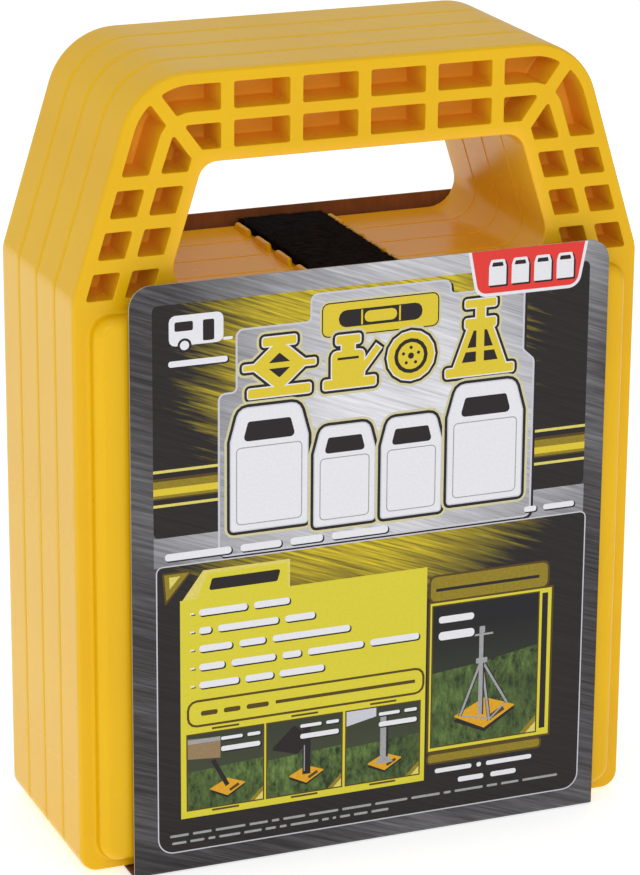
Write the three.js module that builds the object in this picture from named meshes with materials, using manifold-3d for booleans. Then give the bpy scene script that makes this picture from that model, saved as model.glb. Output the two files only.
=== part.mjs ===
// A pack of four stabilizer jack pads with built-in handles, stood upright face to face.
// A hook-and-loop strap runs round the stack through the handle openings, and a printed card
// sleeve is folded round the front, the bottom and the back of it.
// Millimetres. +Z is up, the front faces -Y, and the origin is the centre of the base.
import * as THREE from "three";
import { mergeVertices } from "three/addons/utils/BufferGeometryUtils.js";
import Module from "manifold-3d";

const wasm = await Module();
wasm.setup();

// Driving dimensions
const CLEARANCE = 0.3; // air between pieces that touch
const ARC_DIVISIONS = 3; // three.js draws each arc with twice as many straight steps

const PAD_COUNT = 4;
const PAD_PITCH = 15.55; // from one pad's rim to the next pad's rim
const PAD_THICKNESS = PAD_PITCH - CLEARANCE;
const PAD_WIDTH = 165.1;
const PAD_HEIGHT = 223.8;
const SHOULDER_HEIGHT = 164.3; // where the square body ends and the handle's slanted arms begin
const ARM_SLOPE = 0.3125; // how far an arm leans in for each millimetre of height
const FOOT_RADIUS = 5;
const SHOULDER_RADIUS = 10;
const CROWN_RADIUS = 20; // the two top corners of the handle
const EDGE_ROUND = 0.8;

const HANDLE_BAND = 24.6; // width of the handle all round the hand opening
const OPENING_FLOOR = 163.3;
const OPENING_TOP_RADIUS = 5.5;
const OPENING_FLOOR_RADIUS = 8;

const CELL_RINGS = [
  { outside: 3.5, inside: 10.7 }, // distances in from the pad's outline
  { outside: 13.9, inside: 21.1 },
];
const CELL_BACK_SKIN = 2.6;
const RIB_WIDTH = 3.7; // ribs between the cells of the handle
const ARM_RIB_PITCH = 10.95;
const ARM_CELL_ROWS = 3;
const CROWN_RIB_PITCH = 19.5;
const CROWN_RIBS_EACH_SIDE = 2;

const PANEL_RISE = 4.6; // the closed load panel stands this far in front of the rim
const PANEL_HALF_WIDTH = 78.2;
const PANEL_BOTTOM = 3.5;
const PANEL_TOP = 160.6;
const PANEL_CORNER_RADIUS = 6;
const PANEL_EDGE_ROUND = 2.4;
const PANEL_SKIN = 2.6;
const PANEL_WALL = 2.6;

const NEST_CLEARANCE = 0.5; // between a load panel and the recess that it nests in
const NEST_DEPTH = PANEL_RISE + NEST_CLEARANCE;
const GRID_CELLS = 7; // square cells along each side of the support grid
const GRID_RIB = 2.4;

const STRAP_WIDTH = 25.4;
const STRAP_THICKNESS = 1.1;
const STRAP_BEND = 2.2; // radius at the middle of the tape's thickness
const STRAP_CHANNEL_WIDTH = STRAP_WIDTH + 1.2;
const TOP_CHANNEL_DEPTH = 1.2;
const FOOT_CHANNEL_DEPTH = STRAP_THICKNESS + 2 * CLEARANCE;
const LUG_HEIGHT = 2.3;
const LUG_THICKNESS = 1.6;
const LUG_LENGTH = 11.4;
const LUG_END_SLOPE = 1.2;

const CARD_THICKNESS = 0.5;
const CARD_LEFT = -69.3; // the sleeve sits a little off centre
const CARD_RIGHT = 70.7;
const CARD_FRONT_HEIGHT = 169.9;
const CARD_BACK_HEIGHT = 168.2;
const CARD_CORNER_RADIUS = 6;

// Places worked out from them
const PAD_BASE = CARD_THICKNESS + CLEARANCE;
const WRAP_DEPTH = 2 * CLEARANCE + STRAP_THICKNESS + CARD_THICKNESS; // sleeve and strap over one face
const PACK_DEPTH = 2 * WRAP_DEPTH + PANEL_RISE + PAD_COUNT * PAD_PITCH - CLEARANCE;
const PACK_FRONT = -PACK_DEPTH / 2;
const PACK_BACK = PACK_DEPTH / 2;
const FIRST_RIM = PACK_FRONT + WRAP_DEPTH + PANEL_RISE;
const SHELL_HALF_WIDTH = PAD_WIDTH / 2;
const CROWN_HALF_WIDTH = SHELL_HALF_WIDTH - ARM_SLOPE * (PAD_HEIGHT - SHOULDER_HEIGHT);
const RECESS_FLOOR = PAD_THICKNESS - NEST_DEPTH;
const CUT_MARGIN = 5; // how far a cutter runs past the face it opens

const material = (color, roughness) => new THREE.MeshStandardMaterial({ color, roughness, metalness: 0 });
const PAD_PLASTIC = material(0xe8c01e, 0.3);
const STRAP_TAPE = material(0x100c0e, 0.95);
const PRINTED_CARD = material(0x4a4a4c, 0.4);

// Solids: a closed three.js geometry becomes a manifold solid for cutting and joining, and back.
function solidOf(geometry) {
  const bare = geometry.clone();
  bare.deleteAttribute("normal");
  bare.deleteAttribute("uv");
  const merged = mergeVertices(bare, 1e-4);
  return new wasm.Manifold(
    new wasm.Mesh({
      numProp: 3,
      vertProperties: merged.attributes.position.array,
      triVerts: new Uint32Array(merged.index.array),
    }),
  );
}

function geometryOf(solid) {
  const mesh = solid.getMesh();
  const geometry = new THREE.BufferGeometry();
  geometry.setAttribute("position", new THREE.BufferAttribute(mesh.vertProperties, 3));
  geometry.setIndex(new THREE.BufferAttribute(mesh.triVerts, 1));
  geometry.computeVertexNormals();
  return geometry;
}

function named(name, geometry, surface) {
  const mesh = new THREE.Mesh(geometry, surface);
  mesh.name = name;
  return mesh;
}

const point = (x, y) => new THREE.Vector2(x, y);

// A closed outline with each corner rounded by its own radius, 0 for a sharp one.
// Corners go round anticlockwise, and a corner that turns the other way gets an inside round.
function roundedOutline(corners) {
  const outline = new THREE.Shape();
  corners.forEach(({ at, radius }, i) => {
    const back = corners.at(i - 1).at.clone().sub(at).normalize();
    const ahead = corners[(i + 1) % corners.length].at.clone().sub(at).normalize();
    const halfAngle = Math.acos(THREE.MathUtils.clamp(back.dot(ahead), -1, 1)) / 2;
    const reach = radius / Math.tan(halfAngle);
    const start = at.clone().addScaledVector(back, reach);
    const end = at.clone().addScaledVector(ahead, reach);
    if (i === 0) outline.moveTo(start.x, start.y);
    else outline.lineTo(start.x, start.y);
    if (radius === 0) return;
    const middle = back.clone().add(ahead).normalize();
    const centre = at.clone().addScaledVector(middle, radius / Math.sin(halfAngle));
    const from = start.clone().sub(centre).angle();
    const to = end.clone().sub(centre).angle();
    const turnsRight = back.cross(ahead) > 0;
    outline.absarc(centre.x, centre.y, radius, from, to, turnsRight);
  });
  outline.closePath();
  return outline;
}

// The corners of an anticlockwise convex outline after every side has moved in by the same distance.
function insetCorners(corners, distance) {
  return corners.map((corner, i) => {
    const back = corners.at(i - 1).clone().sub(corner).normalize();
    const ahead = corners[(i + 1) % corners.length].clone().sub(corner).normalize();
    const inward = back.clone().add(ahead).normalize();
    const halfAngle = Math.acos(THREE.MathUtils.clamp(back.dot(ahead), -1, 1)) / 2;
    return corner.clone().addScaledVector(inward, distance / Math.sin(halfAngle));
  });
}

// An upright plate: an outline in X and Z, from frontY back to backY, its two edges rounded.
function plate(outline, frontY, backY, round = 0, roundSteps = 1) {
  const geometry = new THREE.ExtrudeGeometry(outline, {
    depth: backY - frontY - 2 * round,
    curveSegments: ARC_DIVISIONS,
    bevelEnabled: round > 0,
    bevelThickness: round,
    bevelSize: round,
    bevelOffset: -round,
    bevelSegments: roundSteps,
  });
  return geometry.rotateX(Math.PI / 2).translate(0, backY - round, 0);
}

// A bar that runs along X: its section is an outline in Y and Z.
function bar(outline, leftX, rightX) {
  const geometry = new THREE.ExtrudeGeometry(outline, {
    depth: rightX - leftX,
    curveSegments: ARC_DIVISIONS,
    bevelEnabled: false,
  });
  const sectionInYZ = new THREE.Matrix4().makeBasis(
    new THREE.Vector3(0, 1, 0),
    new THREE.Vector3(0, 0, 1),
    new THREE.Vector3(1, 0, 0),
  );
  return geometry.applyMatrix4(sectionInYZ).translate(leftX, 0, 0);
}

function block(lowX, highX, lowY, highY, lowZ, highZ) {
  const geometry = new THREE.BoxGeometry(highX - lowX, highY - lowY, highZ - lowZ);
  return geometry.translate((lowX + highX) / 2, (lowY + highY) / 2, (lowZ + highZ) / 2);
}

function rectangle(lowX, highX, lowZ, highZ, radii) {
  const places = [point(lowX, lowZ), point(highX, lowZ), point(highX, highZ), point(lowX, highZ)];
  return roundedOutline(places.map((at, i) => ({ at, radius: radii[i] })));
}

// The pad, with its front rim in the plane Y = 0 and its foot at Z = 0.
// PAD_CORNERS runs from the left foot round to the left shoulder.
const PAD_CORNERS = [
  point(-SHELL_HALF_WIDTH, 0),
  point(SHELL_HALF_WIDTH, 0),
  point(SHELL_HALF_WIDTH, SHOULDER_HEIGHT),
  point(CROWN_HALF_WIDTH, PAD_HEIGHT),
  point(-CROWN_HALF_WIDTH, PAD_HEIGHT),
  point(-SHELL_HALF_WIDTH, SHOULDER_HEIGHT),
];
const PAD_RADII = [
  FOOT_RADIUS,
  FOOT_RADIUS,
  SHOULDER_RADIUS,
  CROWN_RADIUS,
  CROWN_RADIUS,
  SHOULDER_RADIUS,
];

function padOutline(inset) {
  const places = insetCorners(PAD_CORNERS, inset);
  return roundedOutline(places.map((at, i) => ({ at, radius: Math.max(PAD_RADII[i] - inset, 0) })));
}

// The hand opening: its top and sides keep the handle band's width, and its floor is level.
function openingOutline() {
  const [, , , topRight, topLeft] = insetCorners(PAD_CORNERS, HANDLE_BAND);
  const floorHalfWidth = topRight.x + ARM_SLOPE * (topRight.y - OPENING_FLOOR);
  return roundedOutline([
    { at: point(-floorHalfWidth, OPENING_FLOOR), radius: OPENING_FLOOR_RADIUS },
    { at: point(floorHalfWidth, OPENING_FLOOR), radius: OPENING_FLOOR_RADIUS },
    { at: topRight, radius: OPENING_TOP_RADIUS },
    { at: topLeft, radius: OPENING_TOP_RADIUS },
  ]);
}

// The ribs that part the handle's cells: level across the arms, upright in the crown, and one
// across each top corner.
function handleRibs() {
  const reach = PAD_WIDTH;
  const span = [-CUT_MARGIN, PAD_THICKNESS];
  const armRibs = Array.from({ length: ARM_CELL_ROWS }, (_, row) => {
    const top = SHOULDER_HEIGHT + (row + 1) * ARM_RIB_PITCH;
    return block(-reach, reach, ...span, top - RIB_WIDTH, top);
  });
  const crownRibs = Array.from({ length: 2 * CROWN_RIBS_EACH_SIDE + 1 }, (_, i) => {
    const x = (i - CROWN_RIBS_EACH_SIDE) * CROWN_RIB_PITCH;
    return block(x - RIB_WIDTH / 2, x + RIB_WIDTH / 2, ...span, PAD_HEIGHT - HANDLE_BAND, PAD_HEIGHT);
  });
  const [, , , innerCorner] = insetCorners(PAD_CORNERS, HANDLE_BAND);
  const outward = PAD_CORNERS[3].clone().sub(innerCorner);
  const cornerRibs = [-1, 1].map((side) => {
    const rib = block(-RIB_WIDTH / 2, RIB_WIDTH / 2, ...span, 0, outward.length());
    const lean = Math.atan2(side * outward.x, outward.y);
    return rib.rotateY(lean).translate(side * innerCorner.x, 0, innerCorner.y);
  });
  return [...armRibs, ...crownRibs, ...cornerRibs].map(solidOf);
}

// The blind cells of the handle, open to the front, as one cutter for each ring.
function handleCells() {
  const belowHandle = solidOf(
    block(-PAD_WIDTH, PAD_WIDTH, -2 * CUT_MARGIN, 2 * PAD_THICKNESS, -CUT_MARGIN, SHOULDER_HEIGHT),
  );
  const ribs = handleRibs();
  return CELL_RINGS.map(({ outside, inside }) => {
    const backY = PAD_THICKNESS - CELL_BACK_SKIN;
    const whole = solidOf(plate(padOutline(outside), -CUT_MARGIN, backY));
    const core = solidOf(plate(padOutline(inside), -2 * CUT_MARGIN, backY + CUT_MARGIN));
    return ribs.reduce((cells, rib) => cells.subtract(rib), whole.subtract(core).subtract(belowHandle));
  });
}

// The back of the body: a shallow recess for the next pad's load panel, and a grid of square
// cells beyond it, closed at the front by the panel's skin.
function nestRecess() {
  const halfWidth = PANEL_HALF_WIDTH + NEST_CLEARANCE;
  const outline = rectangle(
    -halfWidth,
    halfWidth,
    PANEL_BOTTOM - NEST_CLEARANCE,
    PANEL_TOP + NEST_CLEARANCE,
    Array(4).fill(PANEL_CORNER_RADIUS),
  );
  return solidOf(plate(outline, RECESS_FLOOR, PAD_THICKNESS + CUT_MARGIN));
}

function gridCells() {
  const halfWidth = PANEL_HALF_WIDTH - PANEL_WALL;
  const bottom = PANEL_BOTTOM + PANEL_WALL;
  const top = PANEL_TOP - PANEL_WALL;
  const stepX = (2 * halfWidth + GRID_RIB) / GRID_CELLS;
  const stepZ = (top - bottom + GRID_RIB) / GRID_CELLS;
  const cells = [];
  for (let column = 0; column < GRID_CELLS; column += 1) {
    for (let row = 0; row < GRID_CELLS; row += 1) {
      const x = -halfWidth + column * stepX;
      const z = bottom + row * stepZ;
      const front = PANEL_SKIN - PANEL_RISE;
      const back = RECESS_FLOOR + CUT_MARGIN;
      cells.push(solidOf(block(x, x + stepX - GRID_RIB, front, back, z, z + stepZ - GRID_RIB)));
    }
  }
  return cells;
}

// Shallow channels for the strap across the floor of the opening and across the foot.
function strapChannels() {
  const half = STRAP_CHANNEL_WIDTH / 2;
  const span = [-2 * CUT_MARGIN, PAD_THICKNESS + CUT_MARGIN];
  const top = block(-half, half, ...span, OPENING_FLOOR - TOP_CHANNEL_DEPTH, OPENING_FLOOR + CUT_MARGIN);
  const foot = block(-half, half, ...span, -CUT_MARGIN, FOOT_CHANNEL_DEPTH);
  return [top, foot].map(solidOf);
}

// The two low lugs that keep the strap in its channel, with sloping ends.
function strapLugs() {
  const root = OPENING_FLOOR - TOP_CHANNEL_DEPTH;
  const tip = OPENING_FLOOR + LUG_HEIGHT;
  const front = (PAD_THICKNESS - LUG_LENGTH) / 2;
  const back = front + LUG_LENGTH;
  const profile = roundedOutline([
    { at: point(front, root), radius: 0 },
    { at: point(back, root), radius: 0 },
    { at: point(back, OPENING_FLOOR), radius: 0 },
    { at: point(back - LUG_END_SLOPE, tip), radius: 0 },
    { at: point(front + LUG_END_SLOPE, tip), radius: 0 },
    { at: point(front, OPENING_FLOOR), radius: 0 },
  ]);
  const inner = STRAP_CHANNEL_WIDTH / 2;
  return [
    bar(profile, -inner - LUG_THICKNESS, -inner),
    bar(profile, inner, inner + LUG_THICKNESS),
  ].map(solidOf);
}

function padGeometry() {
  const shell = padOutline(0);
  shell.holes.push(new THREE.Path(openingOutline().extractPoints(ARC_DIVISIONS).shape));
  const loadPanel = rectangle(
    -PANEL_HALF_WIDTH,
    PANEL_HALF_WIDTH,
    PANEL_BOTTOM,
    PANEL_TOP,
    Array(4).fill(PANEL_CORNER_RADIUS),
  );
  const panelBack = PANEL_EDGE_ROUND + 2 * EDGE_ROUND;
  const slab = solidOf(plate(shell, 0, PAD_THICKNESS, EDGE_ROUND));
  const panel = solidOf(plate(loadPanel, -PANEL_RISE, panelBack, PANEL_EDGE_ROUND, 2));
  const cutters = [...handleCells(), nestRecess(), ...gridCells(), ...strapChannels()];
  const moulded = cutters.reduce((pad, cutter) => pad.subtract(cutter), slab.add(panel));
  return geometryOf(strapLugs().reduce((pad, lug) => pad.add(lug), moulded));
}

function pads() {
  const group = new THREE.Group();
  group.position.z = PAD_BASE;
  const geometry = padGeometry();
  for (let number = 1; number <= PAD_COUNT; number += 1) {
    const pad = named(`pad_${number}`, geometry, PAD_PLASTIC);
    pad.position.y = FIRST_RIM + (number - 1) * PAD_PITCH;
    group.add(pad);
  }
  return group;
}

// The section of a tape that follows a path in Y and Z. The path is the middle of its thickness.
function tapeSection(path) {
  const half = STRAP_THICKNESS / 2;
  const last = path.length - 1;
  const way = (i) => path[i + 1].clone().sub(path[i]).normalize();
  const edge = (side) =>
    path.map((at, i) => {
      const incoming = way(Math.max(i - 1, 0));
      const outgoing = way(Math.min(i, last - 1));
      const outward = (run) => point(run.y, -run.x).multiplyScalar(side);
      const miter = outward(incoming).add(outward(outgoing)).normalize();
      const reach = half / miter.dot(outward(outgoing));
      const bend = STRAP_BEND + half * side * Math.sign(incoming.cross(outgoing));
      const isEnd = i === 0 || i === last;
      return { at: at.clone().addScaledVector(miter, reach), radius: isEnd ? 0 : bend };
    });
  return roundedOutline([...edge(1), ...edge(-1).reverse()]);
}

// The strap is one hook-and-loop tape. Its front length lies under its rear length on the
// opening's floor, where the two lap, and they meet edge to edge at the rear of the foot.
function strap() {
  const middle = STRAP_THICKNESS / 2;
  const channelFloor = PAD_BASE + OPENING_FLOOR - TOP_CHANNEL_DEPTH;
  const innerTop = channelFloor + CLEARANCE + middle;
  const outerTop = innerTop + STRAP_THICKNESS + CLEARANCE;
  const front = PACK_FRONT + CARD_THICKNESS + CLEARANCE + middle;
  const back = PACK_BACK - CARD_THICKNESS - CLEARANCE - middle;
  const foot = PAD_BASE + CLEARANCE + middle;
  const lastPadBack = PACK_BACK - WRAP_DEPTH;
  const frontPath = [
    point(lastPadBack - 2 * STRAP_BEND, innerTop),
    point(front, innerTop),
    point(front, foot),
    point(lastPadBack, foot),
  ];
  const rearPath = [
    point(FIRST_RIM, outerTop),
    point(back, outerTop),
    point(back, PAD_BASE + CLEARANCE),
  ];
  const group = new THREE.Group();
  const half = STRAP_WIDTH / 2;
  group.add(named("strap_front", bar(tapeSection(frontPath), -half, half), STRAP_TAPE));
  group.add(named("strap_rear", bar(tapeSection(rearPath), -half, half), STRAP_TAPE));
  return group;
}

// The sleeve: a front and a back panel that fold up from the bottom panel's two creases.
function cardSleeve() {
  const upright = (height) => {
    const radii = [0, 0, CARD_CORNER_RADIUS, CARD_CORNER_RADIUS];
    return rectangle(CARD_LEFT, CARD_RIGHT, PAD_BASE, height, radii);
  };
  const crease = CARD_THICKNESS / 2;
  const front = plate(upright(CARD_FRONT_HEIGHT), PACK_FRONT, PACK_FRONT + CARD_THICKNESS);
  const back = plate(upright(CARD_BACK_HEIGHT), PACK_BACK - CARD_THICKNESS, PACK_BACK);
  const bottom = block(CARD_LEFT, CARD_RIGHT, PACK_FRONT + crease, PACK_BACK - crease, 0, CARD_THICKNESS);
  const group = new THREE.Group();
  group.add(named("card_front_panel", front, PRINTED_CARD));
  group.add(named("card_bottom_panel", bottom, PRINTED_CARD));
  group.add(named("card_back_panel", back, PRINTED_CARD));
  return group;
}

const pack = new THREE.Group();
pack.add(pads(), strap(), cardSleeve());

export default pack;
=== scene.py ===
"""A strapped pack of four stabilizer jack pads in a folded card sleeve.

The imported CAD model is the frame. Shapes here are worked out in millimetres in the frame's own
axes, +Z up with the front facing -Y, and become metres when a piece is made.
"""
import math

import bpy
import numpy as np
from mathutils import Matrix, Vector
from mathutils.geometry import delaunay_2d_cdt


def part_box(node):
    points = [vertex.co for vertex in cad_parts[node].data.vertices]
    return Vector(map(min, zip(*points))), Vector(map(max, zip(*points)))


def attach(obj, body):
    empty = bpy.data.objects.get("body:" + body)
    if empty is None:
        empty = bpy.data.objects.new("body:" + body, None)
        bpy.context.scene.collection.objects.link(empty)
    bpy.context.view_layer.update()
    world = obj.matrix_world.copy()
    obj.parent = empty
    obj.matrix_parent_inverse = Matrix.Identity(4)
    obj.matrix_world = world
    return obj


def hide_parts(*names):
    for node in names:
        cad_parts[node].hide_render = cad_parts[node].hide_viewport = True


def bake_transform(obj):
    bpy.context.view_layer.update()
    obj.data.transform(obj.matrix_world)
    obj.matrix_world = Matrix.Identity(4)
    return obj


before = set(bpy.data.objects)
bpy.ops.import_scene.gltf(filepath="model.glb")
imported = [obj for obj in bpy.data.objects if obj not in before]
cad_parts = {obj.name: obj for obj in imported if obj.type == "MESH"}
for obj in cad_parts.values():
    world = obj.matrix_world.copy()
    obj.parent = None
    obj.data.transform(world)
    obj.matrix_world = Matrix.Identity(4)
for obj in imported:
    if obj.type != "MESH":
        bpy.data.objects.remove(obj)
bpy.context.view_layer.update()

MM = 0.001
QUARTER = math.pi / 2


def node_box(name):
    """The lowest and highest corner of a CAD node at rest, in millimetres."""
    low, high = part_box(name)
    return low / MM, high / MM


# ----------------------------------------
# Camera: a long lens, a little to the left of the pack and above it
# ----------------------------------------
CAMERA_PLACE = (-0.36208, -0.88714, 0.43109)
CAMERA_YAW = math.radians(22.17)  # from +Y towards +X
CAMERA_PITCH = math.radians(-18.56)
CAMERA_ROLL = math.radians(0.42)
CAMERA_LENS = 147.32  # for the 36 mm sensor, which the picture's long side fills


def make_camera():
    camera = bpy.data.objects.new("camera", bpy.data.cameras.new("camera"))
    bpy.context.scene.collection.objects.link(camera)
    bpy.context.scene.camera = camera
    level = math.cos(CAMERA_PITCH)
    ahead = Vector((math.sin(CAMERA_YAW) * level, math.cos(CAMERA_YAW) * level, math.sin(CAMERA_PITCH)))
    right = Vector((math.cos(CAMERA_YAW), -math.sin(CAMERA_YAW), 0))
    up = right.cross(ahead)
    turned_right = right * math.cos(CAMERA_ROLL) + up * math.sin(CAMERA_ROLL)
    turned_up = up * math.cos(CAMERA_ROLL) - right * math.sin(CAMERA_ROLL)
    turn = Matrix((turned_right, turned_up, -ahead)).transposed()
    camera.matrix_world = Matrix.Translation(CAMERA_PLACE) @ turn.to_4x4()
    camera.data.sensor_width = 36
    camera.data.lens = CAMERA_LENS
    camera.data.clip_start = 0.05
    camera.data.clip_end = 20


make_camera()


# ----------------------------------------
# Materials
# ----------------------------------------
class Finish:
    """A node material round one Principled shader. Uniform values go straight to its sockets."""

    def __init__(self, name, color, roughness, **uniform):
        self.material = bpy.data.materials.new(name)
        self.material.use_nodes = True
        self.tree = self.material.node_tree
        self.shader = self.tree.nodes["Principled BSDF"]
        self.shader.inputs["Base Color"].default_value = (*color, 1)
        self.shader.inputs["Roughness"].default_value = roughness
        for socket, value in uniform.items():
            self.shader.inputs[socket.replace("_", " ")].default_value = value

    def node(self, kind, inputs, **settings):
        made = self.tree.nodes.new(kind)
        for key, value in settings.items():
            setattr(made, key, value)
        for socket, value in inputs.items():
            if isinstance(value, bpy.types.NodeSocket):
                self.tree.links.new(value, made.inputs[socket])
            else:
                made.inputs[socket].default_value = value
        return made

    def place(self):
        return self.node("ShaderNodeTexCoord", {}).outputs["Object"]

    def moved(self, scale, turn=0.0):
        """Object coordinates turned about Y, then scaled, so that a noise can run in streaks."""
        inputs = {"Vector": self.place(), "Angle": turn}
        turned = self.node("ShaderNodeVectorRotate", inputs, rotation_type="Y_AXIS")
        inputs = {"Vector": turned.outputs["Vector"], "Scale": scale}
        return self.node("ShaderNodeMapping", inputs).outputs["Vector"]

    def noise(self, scale, detail=3.0, vector=None, roughness=0.5):
        inputs = {"Vector": vector or self.place(), "Scale": scale, "Detail": detail, "Roughness": roughness}
        return self.node("ShaderNodeTexNoise", inputs).outputs["Fac"]

    def span(self, value, low, high, to_low=0.0, to_high=1.0):
        inputs = {"Value": value, "From Min": low, "From Max": high, "To Min": to_low, "To Max": to_high}
        return self.node("ShaderNodeMapRange", inputs).outputs["Result"]

    def math(self, operation, first, second):
        return self.node("ShaderNodeMath", {0: first, 1: second}, operation=operation).outputs["Value"]

    def mixed(self, amount, first, second):
        """A colour between two, each a tuple or another node's colour."""
        inputs = {"Factor": amount}
        made = self.node("ShaderNodeMix", inputs, data_type="RGBA")
        for socket, value in ((6, first), (7, second)):
            if isinstance(value, bpy.types.NodeSocket):
                self.tree.links.new(value, made.inputs[socket])
            else:
                made.inputs[socket].default_value = (*value, 1)
        return made.outputs[2]

    def color(self, socket):
        self.tree.links.new(socket, self.shader.inputs["Base Color"])

    def roughness(self, socket):
        self.tree.links.new(socket, self.shader.inputs["Roughness"])

    def bump(self, height, distance, strength=1.0):
        inputs = {"Height": height, "Distance": distance, "Strength": strength}
        made = self.node("ShaderNodeBump", inputs)
        self.tree.links.new(made.outputs["Normal"], self.shader.inputs["Normal"])


def pad_plastic():
    """Glossy yellow plastic. Its cells and hand opening are painted redder with depth: painted light
    standing in for the light that soaks through the walls and bounces inside.
    """
    finish = Finish("pad_plastic", (0.80, 0.465, 0.004), 0.27, Specular_IOR_Level=0.2)
    flow = finish.noise(18, 3)
    face = finish.mixed(finish.span(flow, 0.35, 0.65), (0.81, 0.475, 0.004), (0.77, 0.435, 0.005))
    # Painted light: a redder orange that grows with depth in the recesses, standing in for light through the
    # plastic.
    recess_light = finish.node("ShaderNodeAttribute", {}, attribute_name="recess_light").outputs["Fac"]
    finish.color(finish.mixed(recess_light, face, (1.0, 0.50, 0.045)))
    handling = finish.noise(25, 2)
    finish.roughness(finish.span(handling, 0.3, 0.7, 0.24, 0.30))
    ripple = finish.noise(45, 2)
    grain = finish.noise(1500, 2)
    finish.bump(finish.math("ADD", ripple, finish.math("MULTIPLY", grain, 0.012)), 0.0002, 0.35)
    return finish.material


def strap_pile():
    """The black looped pile of hook-and-loop tape."""
    finish = Finish("strap_pile", (0.003, 0.002, 0.003), 1.0, Specular_IOR_Level=0.1)
    clumps = finish.noise(900, 4)
    dark, light = (0.0015, 0.001, 0.0015), (0.009, 0.006, 0.007)
    finish.color(finish.mixed(finish.span(clumps, 0.4, 0.7), dark, light))
    finish.bump(clumps, 0.0004, 0.9)
    return finish.material


def strap_fibre():
    """The loose hairs of the tape's pile, some a little browner than others."""
    finish = Finish("strap_fibre", (0.006, 0.004, 0.004), 0.9, Specular_IOR_Level=0.15)
    tint = finish.noise(400, 2)
    finish.color(finish.mixed(finish.span(tint, 0.4, 0.6), (0.002, 0.0015, 0.002), (0.014, 0.008, 0.007)))
    return finish.material


def bare_board(name, dark, light):
    """Unprinted card: short pale and dark fibres over an even ground."""
    finish = Finish(name, light, 0.8)
    fibres = finish.noise(700, 4, finish.moved((1, 1, 0.25)))
    cloud = finish.noise(35, 3)
    ground = finish.mixed(finish.span(cloud, 0.3, 0.7), dark, light)
    tone = finish.span(fibres, 0.35, 0.65)
    finish.color(finish.mixed(tone, tuple(0.92 * part for part in dark), ground))
    finish.bump(fibres, 0.00003, 0.4)
    return finish.material


def printed(name, color):
    """Ink under a thin clear film: the base of every printed colour."""
    return Finish(name, color, 0.27, Specular_IOR_Level=0.22)


def flat_ink(name, color, mottle):
    """A solid ink with the slight mottle of offset printing, which darkens it by up to that share."""
    finish = printed(name, color)
    grain = finish.span(finish.noise(1300, 3), 0.3, 0.7)
    finish.color(finish.mixed(grain, tuple(part * (1 - mottle) for part in color), color))
    return finish.material


STREAK_TURN = math.radians(-21)  # the printed brush marks rise to the right


def streaks(finish, length, fineness):
    """Noise drawn out into long thin brush marks."""
    vector = finish.moved((1 / length, 1, 1), STREAK_TURN)
    return finish.noise(fineness, 5, vector, 0.7)


def distance_from(finish, centre, reach):
    """How far a place is from a centre. It is 1 at the reach, which is (across, up) in millimetres."""
    inputs = {"Vector": finish.place(), "Location": tuple(-c for c in centre)}
    local = finish.node("ShaderNodeMapping", inputs).outputs["Vector"]
    inputs = {"Vector": local, "Scale": (1 / (reach[0] * MM), 0, 1 / (reach[1] * MM))}
    scaled = finish.node("ShaderNodeMapping", inputs).outputs["Vector"]
    return finish.node("ShaderNodeVectorMath", {0: scaled}, operation="LENGTH").outputs["Value"]


def brushed_steel(name, dark, light, centre, reach):
    """Printed brushed metal: slanting marks and bands, and a sheen that is brightest at its centre."""
    finish = printed(name, light)
    marks = finish.span(streaks(finish, 30, 900), 0.3, 0.7)
    band = finish.span(finish.noise(26, 2, finish.moved((0.2, 1, 1), STREAK_TURN)), 0.35, 0.65)
    sheen = finish.span(distance_from(finish, centre, reach), 1.0, 0.25)
    texture = finish.math("ADD", finish.math("MULTIPLY", marks, 0.30), finish.math("MULTIPLY", band, 0.20))
    tone = finish.math("ADD", texture, finish.math("MULTIPLY", sheen, 0.58))
    finish.color(finish.mixed(finish.math("POWER", tone, 2), dark, light))
    return finish.material


def panel_burst(name, centre, reach, lit_from, lit_to):
    """The print's near-black panels, lit from one place by a burst of yellow brush marks."""
    finish = printed(name, (0.02, 0.018, 0.015))
    marks = streaks(finish, 24, 620)
    spread = finish.span(marks, 0.25, 0.75, 0.3, -0.3)
    ragged = finish.math("ADD", distance_from(finish, centre, reach), spread)
    glow = finish.span(ragged, lit_from, lit_to)
    fine = finish.span(streaks(finish, 40, 1500), 0.35, 0.65, 0.1, 1.0)
    lit = finish.mixed(fine, (0.13, 0.095, 0.008), (0.72, 0.56, 0.020))
    ground = finish.mixed(fine, (0.010, 0.007, 0.007), (0.020, 0.016, 0.015))
    finish.color(finish.mixed(glow, ground, lit))
    return finish.material


def shaded_ink(name, low, high, bottom, top):
    """An ink that blends upwards from one colour to another between two heights in millimetres."""
    finish = printed(name, low)
    height = finish.node("ShaderNodeSeparateXYZ", {"Vector": finish.place()}).outputs["Z"]
    finish.color(finish.mixed(finish.span(height, bottom * MM, top * MM), low, high))
    return finish.material


def grass_ink(name):
    """A printed picture of short grass."""
    finish = printed(name, (0.05, 0.12, 0.02))
    blades = finish.noise(520, 5, finish.moved((1, 1, 0.45)), 0.75)
    patches = finish.noise(70, 3)
    green = finish.mixed(finish.span(blades, 0.35, 0.68), (0.010, 0.022, 0.006), (0.15, 0.24, 0.055))
    finish.color(finish.mixed(finish.span(patches, 0.35, 0.7, 0, 0.55), green, (0.02, 0.035, 0.012)))
    return finish.material


# ----------------------------------------
# Outlines: closed, anticlockwise lists of corners (x, z, radius, arc steps)
# ----------------------------------------
ARC_STEPS = 8
SMALL_ARC_STEPS = 3
LEAST_RADIUS = 0.02
ROUND_CLEARANCE = 2.0  # between a rounded corner and the nearest point of a curve beside it


def rectangle(low_x, high_x, low_z, high_z, radius, steps=ARC_STEPS):
    places = [(low_x, low_z), (high_x, low_z), (high_x, high_z), (low_x, high_z)]
    return [(x, z, radius, steps) for x, z in places]


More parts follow.
